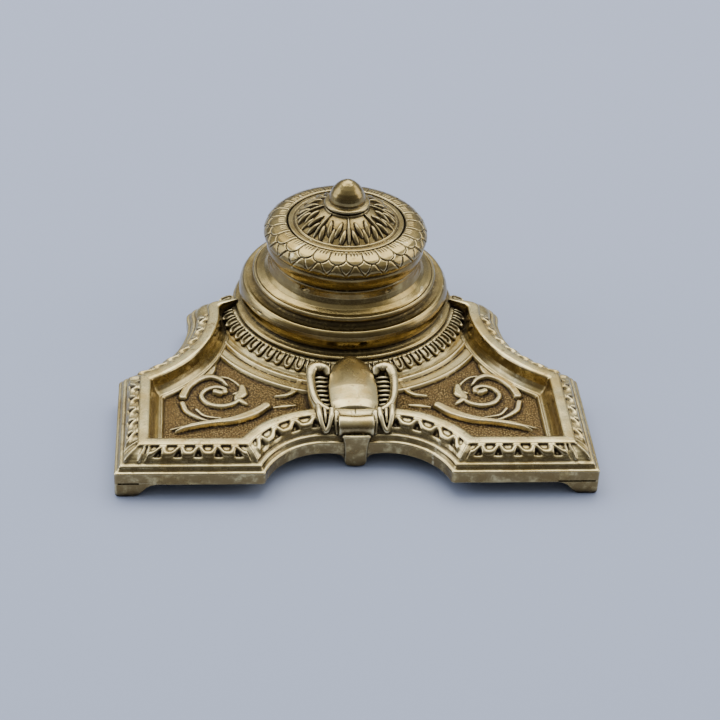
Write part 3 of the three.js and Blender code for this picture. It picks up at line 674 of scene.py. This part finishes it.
def roll_and_foot(brass):
    """The scroll at the front of the bracket and its tapering foot."""
    a = np.linspace(0, 2 * math.pi, 40, endpoint=False)[:, None]
    x = np.concatenate([[-ROLL_HALF, -4.5], np.linspace(-4.3, 4.3, 24), [4.5, ROLL_HALF]])[None, :]
    eased_ends = 0.6 * (np.abs(x) > 4.55) + 0.15 * (np.abs(x) > 4.4)
    waist = ROLL_R - 0.25 * np.cos(x / ROLL_HALF * math.pi / 2) ** 2 - eased_ends
    y = FACE_Y + 4.3 + waist * np.cos(a)
    z = ROLL_Z + waist * np.sin(a)
    p = np.stack([x + 0 * a, y, z], axis=-1).transpose(1, 0, 2)
    make("bracket_roll", p, capped_faces(*p.shape[:2]), brass)
    core = np.array([[(x, y, 12.1 - 0.005 * (y + 54) ** 2) for y in np.linspace(-52, -59, 16)]
                     for x in np.linspace(-5.3, 5.3, 24)])
    block_under("bracket_core", core, BRACKET_LOW, brass)
    bead = [(-2.9, FACE_Y + 1.3, 9.0), (-1.6, FACE_Y + 0.75, 8.2), (0, FACE_Y + 0.6, 7.9),
            (1.6, FACE_Y + 0.75, 8.2), (2.9, FACE_Y + 1.3, 9.0)]
    tube("bracket_bead", curve_through(bead, 6), [0.5, 0.6, 0.5], brass)
    foot_column("bracket_foot", FOOT_SHAPE, FACE_Y, 0.35, brass)
    foot_column("bracket_web", WEB_SHAPE, FACE_Y + 0.95, 0.15, brass)


def foot_column(name, shape, face, crown, brass):
    """An upright with half widths given by height, its front slightly domed by the crown."""
    z = np.linspace(0, shape[-1][0], 56)[:, None]
    half = np.interp(z, [k[0] for k in shape], [k[1] for k in shape])
    u = np.linspace(-1, 1, 40)[None, :]
    y = face + crown * u ** 2 + 0.5 * smooth(0.93, 1.0, np.abs(u)) + 0.6 * (1 - smooth(0, 0.7, z)) ** 2
    front = np.stack([half * u, y, z + 0 * u], axis=-1)
    back = front.copy()
    back[..., 1] = FACE_Y + WALL
    slab(name, front, back, brass)


# ---- feet ----
# The feet run a little way up inside the plain band.
FOOT_TOP = FOOT_H + 0.6
BACK_FOOT_HALF_ANGLE = 0.117


def corner_foot(name, corner, along_a, along_b, brass):
    """A corner foot of two wings: flat on the table, then an ogee up to the plain band."""
    corner, along_a, along_b = (np.array(k, float) for k in (corner, along_a, along_b))
    path = resampled([corner + along_a * FOOT_LEN, corner, corner + along_b * FOOT_LEN], 0.2)
    inside = resampled([corner + along_a * FOOT_LEN + along_b * WALL, corner + (along_a + along_b) * WALL,
                        corner + along_b * FOOT_LEN + along_a * WALL], 0.2)
    inside = inside[np.linspace(0, len(inside) - 1, len(path)).round().astype(int)]
    past_flat = np.abs(np.linspace(-FOOT_LEN, FOOT_LEN, len(path))) - FOOT_FLAT
    low = np.interp(past_flat, [0, 1, 2.2, 3.4, 4.6, FOOT_LEN - FOOT_FLAT], [0, 0.25, 1.2, 2.6, 3.4, FOOT_H])
    share = np.linspace(0, 1, 16)[None, :]
    z = ease_line(low[:, None], FOOT_TOP, share)[..., None]
    tuck = 0.4 * bump(share, 0.1)[..., None]
    outer = eased_corners(path, 7)[:, None, :] + 0 * z
    inner = eased_corners(inside, 7)[:, None, :] + 0 * z
    across = inner - outer
    across /= np.linalg.norm(across, axis=-1, keepdims=True)
    slab(name, np.concatenate([outer + across * tuck, z], axis=-1),
         np.concatenate([inner - across * tuck, z], axis=-1), brass)


def feet(brass):
    """Two corner feet at the front, two at the back scrolls, and one under the apron."""
    for side, tag in ((-1, "left"), (1, "right")):
        corner_foot("foot_front_" + tag, (side * HALF, -FRONT), (-side, 0), (0, 1), brass)
        corner_foot("foot_back_" + tag, (side * WAIST_X, BACK_Y - 0.1), (-side, 0), (0, -1), brass)
    a = np.linspace(-BACK_FOOT_HALF_ANGLE, BACK_FOOT_HALF_ANGLE, 24)[:, None] + math.pi / 2
    z = np.linspace(0, FOOT_TOP, 16)[None, :]
    outer = np.stack([APRON_R * np.cos(a) + 0 * z, APRON_R * np.sin(a) + 0 * z, z + 0 * a], axis=-1)
    inward = 1 - WALL / APRON_R
    inner = outer * [inward, inward, 1]
    slab("foot_back_middle", outer, inner, brass)


# ---- housing, lid and knob ----
# Knocks on the neck and the torus: angle from the front, height, half width, half height.
KNOCKS = [(-0.60, 24.9, 0.035, 0.5), (0.56, 24.6, 0.03, 0.4), (-0.64, 24.4, 0.02, 0.3),
          (-0.98, 16.6, 0.03, 0.25), (-1.08, 16.4, 0.02, 0.2)]
KNOCK_DEEP = 0.35


def knock_relief(a, r, z):
    """Small dents left by knocks."""
    angle = (a + math.pi / 2 + math.pi) % (2 * math.pi) - math.pi
    marks = sum(bump(angle - at, wide) * bump(z - height, tall) for at, height, wide, tall in KNOCKS)
    return -KNOCK_DEEP * marks * (r > 20)


def housing(brass):
    """The turned well housing: neck, bead, scotia, torus and foot outside, the pot's rim seat inside."""
    top = HOUSING_HIGH[2]
    neck = [(20.2, top), (20.4, top - 0.25), (20.4, 25.2), (20.6, 23.8), (21.1, 22.4), (22.0, 21.4),
            (23.4, 20.75), (24.2, 20.55)]
    bead = [(24.4, 20.75), (24.8, 20.8), (25.15, 20.45), (25.25, 19.9), (25.0, 19.4), (24.5, 19.2)]
    scotia = [(24.4, 18.8), (24.5, 18.35), (25.0, 18.05), (25.8, 17.95), (26.6, 17.95), (27.1, 18.05)]
    torus = [(27.2, 18.05), (27.6, 18.05), (28.0, 17.7), (28.5, 16.8), (28.8, 15.6), (28.85, 14.4),
             (28.6, 13.3), (28.1, 12.6)]
    foot = [(27.8, 12.45), (27.8, 12.1), (28.2, 11.9), (28.7, 11.6), (29.3, 11.45), (29.6, 11.4),
            (29.9, 11.25), (30.1, 11.0), (30.1, 10.5), (29.8, 10.3)]
    inside = [(19.8, 10.3), (19.8, 12.8), (26.0, 12.8), (26.2, 15.6), (22.6, 16.0), (22.4, 18.2),
              (19.8, 20.2), (17.3, 22.2), (17.3, 23.9), (18.7, 23.9), (18.7, top)]
    section = neck + bead + scotia + torus + foot + inside
    return turned_piece("housing", section, 300, brass, knock_relief, soft=0.12, step=0.14)


PETALS = 27


def petal_relief(a, r, z):
    """Shallow carving of the lid's cushion. w runs from its inner edge to the line below the leaves."""
    top = (r > 16.0) & (z > 30.6)
    w = np.where(z > 34.4, np.clip((r - 16.5) / 6.9, 0, 1), np.clip(0.72 + (34.4 - z) / 3.4 * 0.28, 0, 1))
    tau = (a * PETALS / (2 * np.pi)) % 1.0 - 0.5
    edge = np.sqrt((tau / 0.5) ** 2 + np.maximum((w - 0.42) / 0.26, 0) ** 2)
    petal = 0.16 * (1 - smooth(0.90, 1.02, edge))
    outline = bump(edge - 0.98, 0.055)
    shoulder = 0.5 - np.abs(tau)
    tip_edge = shoulder - 0.5 * np.clip((0.93 - w) / 0.30, 0, 1)
    tip_line = bump(tip_edge, 0.05) * (edge > 1.02) * (w < 0.95)
    tip = 0.10 * smooth(0.0, 0.04, -tip_edge) * (edge > 1.0)
    cuts = sum(bump(tau - c, 0.028) for c in (-0.2, 0.0, 0.2))
    cuts = cuts * (1 - smooth(0.20, 0.30, w)) * smooth(0.04, 0.08, w)
    h = petal + tip - 0.16 - 0.26 * outline - 0.2 * tip_line - 0.26 * cuts
    return h * top * smooth(0.0, 0.05, w) * (1 - smooth(0.96, 1.0, w))


def lid_ring(brass):
    """The lid's cushion of petals over a plain band, with a recess for the dome."""
    edge, top = LID_LOW[2], LID_HIGH[2]
    recess_z, web_z, bore_r = 34.2, 32.8, 1.8
    band = [(20.6, edge), (21.0, edge + 0.3), (21.3, edge + 1.2), (21.5, 28.6), (21.6, 29.8), (21.5, 30.5),
            (21.3, 30.7)]
    cushion = [(21.6, 30.95), (22.1, 31.3), (22.45, 31.9), (22.5, 32.5), (22.3, 33.3), (21.8, 34.1),
               (21.1, 34.8), (20.2, 35.4), (19.2, 35.8), (18.0, 36.05), (17.0, top), (16.5, top)]
    recess = [(16.15, 35.8), (16.1, recess_z), (bore_r, recess_z), (bore_r, web_z)]
    inside = [(18.7, web_z), (19.4, 31.4), (19.4, edge)]
    section = band + cushion + recess + inside
    facets = PETALS * 26
    return turned_piece("leaf_ring", section, facets, brass, petal_relief, soft=0.1, step=0.17, body="lid")


LEAVES = 8
# Fingers of one half of a dome leaf: place across and along it, half sizes, lean and height.
FINGERS = [(0.00, 0.46, 0.070, 0.52, 0.0, 0.85), (0.17, 0.72, 0.090, 0.25, 0.20, 1.0),
           (0.335, 0.50, 0.095, 0.29, 0.24, 1.0), (0.50, 0.74, 0.075, 0.26, 0.0, 0.65)]


def acanthus_relief(a, r, z):
    """Eight leaves of rounded fingers spreading from under the knob."""
    w = np.clip((r - 6.0) / 7.9, 0, 1)
    on = (z > 35.6) & (r > 5.8) & (r < 14.2)
    side = np.abs((a * LEAVES / (2 * np.pi) + 0.5) % 1.0 - 0.5)
    h = np.zeros(np.broadcast(side, w).shape)
    for across, along, half, reach, lean, height in FINGERS:
        off = side - across - lean * (w - along)
        cap = 1 - (off / half) ** 2 - ((w - along) / reach) ** 2
        h = np.maximum(h, height * np.sqrt(np.clip(cap, 0, 1)))
    return (h - 0.45) * on * smooth(0.0, 0.06, w) * (1 - smooth(0.94, 1.0, w))


def dome(brass):
    """The leafy dome in the middle of the lid, with a plain fillet round it."""
    low, top, edge = DOME_LOW[2], DOME_HIGH[2], DOME_HIGH[0]
    bore_r = 1.8
    under = [(bore_r, low), (3.4, low), (3.4, 39.2), (6, 39.0), (10.6, 36.4), (13.2, low), (edge, low)]
    fillet = [(edge, 35.75), (edge - 0.2, 35.95), (edge - 1.2, 36.0), (edge - 1.5, 35.8), (edge - 1.9, 36.2)]
    crown = [(12.6, 37.2), (11.2, 38.2), (9.6, 39.2), (8.0, 40.0), (6.6, 40.6), (5.6, 41.0), (4.6, top),
             (bore_r, top)]
    section = under + fillet + crown
    facets = LEAVES * 80
    return turned_piece("acanthus_dome", section, facets, brass, acanthus_relief, soft=0.12, step=0.13,
                        body="lid")


def knob(brass):
    """The acorn knob on its disc, with the stud that runs down through the lid."""
    disc, tip = 41.3, KNOB_HIGH[2]
    axis_r, stud_r, stud_end = 0.02, 1.5, 29.2
    stud = [(axis_r, stud_end), (stud_r, stud_end), (stud_r, disc)]
    acorn = [(5.9, 0), (6.15, 0.2), (6.2, 0.5), (6.0, 0.8), (5.4, 0.95), (4.95, 1.05), (4.85, 1.3),
             (4.95, 1.8), (4.85, 2.6), (4.5, 3.6), (3.9, 4.7), (3.1, 5.7), (2.2, 6.5), (1.2, 7.05)]
    section = stud + [(r, disc + z) for r, z in acorn] + [(axis_r, tip)]
    return turned_piece("acorn_knob", section, 120, brass, soft=0.12, step=0.13, worn=0.04, body="lid")


# ---- materials ----
def linear(code):
    """An sRGB hex colour as linear red, green and blue."""
    parts = [int(code[k:k + 2], 16) / 255 for k in (1, 3, 5)]
    return tuple(c / 12.92 if c <= 0.04045 else ((c + 0.055) / 1.055) ** 2.4 for c in parts) + (1.0,)


def add(tree, kind, settings=None, **sockets):
    """Adds a node, gives it settings, and sets or links its inputs. An underscore stands for a space,
    and n0, n1 and so on for an input by its number."""
    node = tree.nodes.new("ShaderNode" + kind)
    for key, value in (settings or {}).items():
        setattr(node, key, value)
    for key, value in sockets.items():
        name = int(key[1:]) if key[0] == "n" and key[1:].isdigit() else key.replace("_", " ")
        if isinstance(value, bpy.types.NodeSocket):
            tree.links.new(value, node.inputs[name])
        else:
            node.inputs[name].default_value = value
    return node


def blank(name):
    """A new material, its empty node tree and its output node."""
    material = bpy.data.materials.new(name)
    material.use_nodes = True
    tree = material.node_tree
    tree.nodes.clear()
    output = tree.nodes.new("ShaderNodeOutputMaterial")
    return material, tree, output


def ramp(tree, value, low, high):
    """0 below low, 1 above high, smooth between."""
    return add(tree, "MapRange", {"interpolation_type": "SMOOTHSTEP"}, Value=value, From_Min=low,
               From_Max=high).outputs["Result"]


def mixed(tree, factor, first, second):
    """A colour between two, by a factor from 0 to 1."""
    node = add(tree, "Mix", {"data_type": "RGBA"}, n0=factor)
    for index, value in ((6, first), (7, second)):
        if isinstance(value, bpy.types.NodeSocket):
            tree.links.new(value, node.inputs[index])
        else:
            node.inputs[index].default_value = value
    return node.outputs[2]


def maths(tree, operation, first, second):
    """The result of one sum on two values."""
    return add(tree, "Math", {"operation": operation}, n0=first, n1=second).outputs[0]


def cast_brass(name, bright, dull, tarnish_and_shade, dirt_and_shade, polish, grain_mm, grain_depth, tarnish_and_shade_share, ground=None):
    """Cast yellow brass, fettled and hand polished, with fine pits from the sand and hairline rubbing marks.
    Upward faces stay pale gold; faces that slope sharply are darkened towards the tarnished colour, a
    painted shade mixed with real tarnished blotches. Convex ridges get a painted highlight. Hollows and
    creases that ambient occlusion finds take a dark grimy colour and turn duller: soiling together with
    painted shade.
    Below the ground height, in millimetres, it is punched all over with a matting tool."""
    material, tree, output = blank(name)
    place = add(tree, "TexCoord").outputs["Object"]

    def noise(size_mm, detail, roughness):
        return add(tree, "TexNoise", Vector=place, Scale=1 / (size_mm * MM), Detail=detail,
                   Roughness=roughness).outputs[0]

    def times(first, second):
        return maths(tree, "MULTIPLY", first, second)

    geometry = add(tree, "NewGeometry")
    pointed = geometry.outputs["Pointiness"]
    facing = add(tree, "SeparateXYZ", Vector=geometry.outputs["Normal"]).outputs[2]
    shade = add(tree, "AmbientOcclusion", {"samples": 6}, Distance=2.4 * MM)
    cloud = noise(8, 5.0, 0.62)
    blotch = noise(2.6, 5.0, 0.7)
    dirt_and_shade_patches = noise(1.1, 4.0, 0.65)
    grain = noise(grain_mm, 3.0, 0.7)
    stretch = add(tree, "Mapping", Vector=place, Scale=(0.12, 1.0, 1.0),
                  Rotation=(0.2, 0.1, 0.6))
    rub = add(tree, "TexNoise", Vector=stretch.outputs[0], Scale=1 / (0.35 * MM), Detail=2.0)
    # Painted shade: hollows found by ambient occlusion and concave creases, broken into patches, partly real
    # soiling.
    hidden = ramp(tree, shade.outputs["AO"], 0.95, 0.50)
    creased = ramp(tree, pointed, 0.495, 0.462)
    recess = times(maths(tree, "MAXIMUM", hidden, creased), ramp(tree, dirt_and_shade_patches, 0.22, 0.5))
    # Painted highlight: convex ridges found by pointiness.
    edges = ramp(tree, pointed, 0.506, 0.545)
    metal = mixed(tree, ramp(tree, cloud, 0.38, 0.68), linear(bright), linear(dull))
    # Painted shade: faces that slope sharply are darkened towards the tarnished colour; the blotches below
    # are real tarnished patches.
    painted_steep_shade = times(ramp(tree, facing, 0.86, 0.25), ramp(tree, blotch, 0.2, 0.55))
    tarnish_and_steep_shade = maths(tree, "MAXIMUM", painted_steep_shade, ramp(tree, blotch, 0.56, 0.72))
    metal = mixed(tree, times(tarnish_and_steep_shade, tarnish_and_shade_share), metal, linear(tarnish_and_shade))
    # Mixes the painted highlight's pale colour in on convex ridges.
    metal = mixed(tree, times(edges, 0.55), metal, linear("#e8dcb0"))
    relief = maths(tree, "ADD", grain, times(rub.outputs[0], 0.25))
    if ground is not None:
        height = add(tree, "SeparateXYZ", Vector=place).outputs[2]
        low = ramp(tree, height, (ground + 0.42) * MM, (ground + 0.12) * MM)
        pips = add(tree, "TexVoronoi", Vector=place, Scale=1 / (0.62 * MM), Randomness=0.8)
        punched = ramp(tree, pips.outputs["Distance"], 0.15, 0.62)
        floor_metal = mixed(tree, punched, linear("#ac9564"), linear("#56452a"))
        floor_metal = mixed(tree, ramp(tree, blotch, 0.4, 0.75), floor_metal, linear("#705b38"))
        metal = mixed(tree, low, metal, floor_metal)
        relief = maths(tree, "SUBTRACT", relief, times(times(punched, low), 5.0))
    # The dark grimy colour of soiling and painted shade, mixed in over the hollows and creases.
    colour = mixed(tree, recess, metal, linear(dirt_and_shade))
    rough = add(tree, "MapRange", Value=cloud, From_Min=0.3, From_Max=0.7, To_Min=polish,
                To_Max=polish + 0.12).outputs["Result"]
    rough = maths(tree, "ADD", rough, times(recess, 0.35))
    surface = add(tree, "Bump", Strength=1.0, Distance=grain_depth * MM, Height=relief)
    metallic = add(tree, "MapRange", Value=recess, From_Min=0.0, From_Max=1.0, To_Min=1.0,
                   To_Max=0.6).outputs["Result"]
    shader = add(tree, "BsdfPrincipled", Base_Color=colour, Metallic=metallic, Roughness=rough,
                 Normal=surface.outputs[0])
    tree.links.new(shader.outputs[0], output.inputs[0])
    return material


def turned_steel():
    """Mild steel turned on a lathe: grey, with fine rings and a little rust brown."""
    material, tree, output = blank("turned_steel")
    place = add(tree, "TexCoord").outputs["Object"]
    rust = add(tree, "TexNoise", Vector=place, Scale=1 / (0.8 * MM), Detail=4.0)
    rings = add(tree, "TexNoise", Vector=place, Scale=1 / (0.15 * MM), Detail=1.0)
    colour = mixed(tree, ramp(tree, rust.outputs[0], 0.55, 0.8), linear("#b9b7b2"), linear("#6b513c"))
    surface = add(tree, "Bump", Strength=0.6, Distance=0.01 * MM, Height=rings.outputs[0])
    shader = add(tree, "BsdfPrincipled", Base_Color=colour, Metallic=1.0, Roughness=0.35,
                 Normal=surface.outputs[0])
    tree.links.new(shader.outputs[0], output.inputs[0])
    return material


def pressed_glass():
    """Clear pressed glass: faintly green, its surface slightly wavy from the mould."""
    material, tree, output = blank("pressed_glass")
    place = add(tree, "TexCoord").outputs["Object"]
    wave = add(tree, "TexNoise", Vector=place, Scale=1 / (4 * MM), Detail=1.0)
    surface = add(tree, "Bump", Strength=0.5, Distance=0.05 * MM, Height=wave.outputs[0])
    tint = mixed(tree, wave.outputs[0], linear("#e6f1ec"), linear("#f2f6f4"))
    shader = add(tree, "BsdfPrincipled", Base_Color=tint, Roughness=0.04, IOR=1.52,
                 Normal=surface.outputs[0])
    shader.inputs["Transmission Weight"].default_value = 1.0
    tree.links.new(shader.outputs[0], output.inputs[0])
    return material


def pressed_cork():
    """Granulated cork pressed into sheet: grains about 0.7 mm across."""
    material, tree, output = blank("pressed_cork")
    place = add(tree, "TexCoord").outputs["Object"]
    cells = add(tree, "TexVoronoi", Vector=place, Scale=1 / (0.7 * MM))
    colour = mixed(tree, cells.outputs["Distance"], linear("#b48a5c"), linear("#7d5736"))
    surface = add(tree, "Bump", Strength=0.8, Distance=0.08 * MM,
                  Height=cells.outputs["Distance"])
    shader = add(tree, "BsdfPrincipled", Base_Color=colour, Roughness=0.9,
                 Normal=surface.outputs[0])
    tree.links.new(shader.outputs[0], output.inputs[0])
    return material


def painted_floor():
    """Matt pale blue-grey paint with a very faint mottle."""
    material, tree, output = blank("pale_table")
    place = add(tree, "TexCoord").outputs["Object"]
    mottle = add(tree, "TexNoise", Vector=place, Scale=6.0, Detail=2.0)
    colour = mixed(tree, mottle.outputs[0], linear("#b0bddb"), linear("#b4c1df"))
    shader = add(tree, "BsdfPrincipled", Base_Color=colour, Roughness=0.75)
    tree.links.new(shader.outputs[0], output.inputs[0])
    return material


# ---- studio ----
LENS = 100.0
SENSOR = 36.0
CAMERA_AT = (5.76, -467.2, 316.2)
CAMERA_DOWN = math.radians(34.92)
CAMERA_ROLL = math.radians(3.05)
OBJECT_YAW = math.radians(5.53)


def camera():
    """Looks down at the front, from a little to the left of straight on."""
    forward = Vector((0, math.cos(CAMERA_DOWN), -math.sin(CAMERA_DOWN)))
    right = Vector((1, 0, 0))
    up = right.cross(forward)
    tilted = math.cos(CAMERA_ROLL) * right + math.sin(CAMERA_ROLL) * up
    turn = Matrix.Rotation(-OBJECT_YAW, 3, "Z")
    axes = [turn @ tilted, turn @ tilted.cross(forward), turn @ -forward]
    place = turn @ Vector(CAMERA_AT) + Vector((0, AXIS_Y, 0))
    data = bpy.data.cameras.new("camera")
    data.lens = LENS
    data.sensor_width = SENSOR
    data.clip_start = 0.01
    eye = bpy.data.objects.new("camera", data)
    bpy.context.scene.collection.objects.link(eye)
    turned = Matrix([[axis[k] for axis in axes] for k in range(3)])
    eye.matrix_world = Matrix.Translation(place * MM) @ turned.to_4x4()
    bpy.context.scene.camera = eye


def soft_light(name, place, aim, size, power, colour):
    """A rectangular lamp at a place in metres, turned to a point."""
    data = bpy.data.lights.new(name, "AREA")
    data.shape = "RECTANGLE"
    data.size, data.size_y = size
    data.energy = power
    data.color = linear(colour)[:3]
    lamp = bpy.data.objects.new(name, data)
    bpy.context.scene.collection.objects.link(lamp)
    lamp.location = place
    lamp.rotation_euler = (Vector(aim) - Vector(place)).to_track_quat("-Z", "Y").to_euler()


def studio():
    """A pale table, a sky that is bright overhead and dim in front, and three soft lamps."""
    floor = bpy.data.meshes.new("table")
    reach = 2.5
    corners = [(-reach, -reach, 0), (reach, -reach, 0), (reach, reach, 0), (-reach, reach, 0)]
    floor.from_pydata(corners, [], [(0, 1, 2, 3)])
    floor.materials.append(painted_floor())
    table = bpy.data.objects.new("table", floor)
    bpy.context.scene.collection.objects.link(table)
    world = bpy.data.worlds.new("studio")
    world.use_nodes = True
    tree = world.node_tree
    tree.nodes.clear()
    place = add(tree, "TexCoord").outputs["Generated"]
    parts = add(tree, "SeparateXYZ", Vector=place)
    high = ramp(tree, parts.outputs[2], -0.1, 0.9)
    front = ramp(tree, parts.outputs[1], 0.2, -0.9)
    sky = mixed(tree, high, linear("#8d9099"), linear("#f4f6fa"))
    sky = mixed(tree, maths(tree, "MULTIPLY", front, 0.8), sky, linear("#4b4640"))
    background = add(tree, "Background", Color=sky, Strength=0.85)
    output = add(tree, "OutputWorld")
    tree.links.new(background.outputs[0], output.inputs[0])
    bpy.context.scene.world = world
    soft_light("overhead", (0.0, 0.5, 1.1), (0, 0, 0), (1.5, 1.0), 14, "#fffaf2")
    soft_light("left_window", (-1.1, 0.2, 0.5), (0, 0, 0.02), (0.8, 0.8), 5, "#eef3ff")
    soft_light("right_card", (1.1, 0.1, 0.5), (0, 0, 0.02), (0.8, 0.8), 4, "#fff8ee")


# ---- assembly ----
def dress(node, material):
    """Gives a carried-over piece its finish."""
    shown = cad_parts[node]
    shown.data.materials.clear()
    shown.data.materials.append(material)


camera()
studio()

polished = cast_brass("polished_cast_brass", "#e8d8a0", "#c2ab6e", "#7c6742", "#2c2012",
                      polish=0.19, grain_mm=0.5, grain_depth=0.015, tarnish_and_shade_share=0.9)
aged = cast_brass("aged_cast_brass", "#b5a26b", "#94804c", "#766240", "#241a0e",
                  polish=0.16, grain_mm=0.6, grain_depth=0.018, tarnish_and_shade_share=0.65)
matted = cast_brass("matted_cast_brass", "#dbc990", "#bca56a", "#7c6742", "#2c2012",
                    polish=0.22, grain_mm=0.5, grain_depth=0.03, tarnish_and_shade_share=0.4, ground=FLOOR_Z)
machined = cast_brass("machined_brass", "#a89360", "#8a7444", "#6b552f", "#33260f",
                      polish=0.30, grain_mm=0.3, grain_depth=0.01, tarnish_and_shade_share=0.4)
steel = turned_steel()

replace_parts(border(1, polished), "base_casting")
border(-1, polished)
panels(matted)
collar(polished)
seat(polished)
shield(polished)
volute(1, polished)
volute(-1, polished)
roll_and_foot(polished)
feet(polished)
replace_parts(housing(aged), "well_housing")
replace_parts(lid_ring(aged), "lid_ring")
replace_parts(dome(aged), "lid_dome")
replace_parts(knob(aged), "finial_knob")

dress("ink_liner", pressed_glass())
dress("liner_ring", pressed_cork())
for node in ("hinge_body_leaf", "hinge_lid_leaf", "finial_washer", "finial_nut"):
    dress(node, machined)
dress("hinge_pin", steel)
for i in (1, 2):
    dress(f"hinge_body_screw_{i}", steel)
    dress(f"hinge_lid_screw_{i}", steel)
for i in (1, 2, 3):
    dress(f"housing_screw_{i}", steel)
    dress(f"housing_washer_{i}", machined)
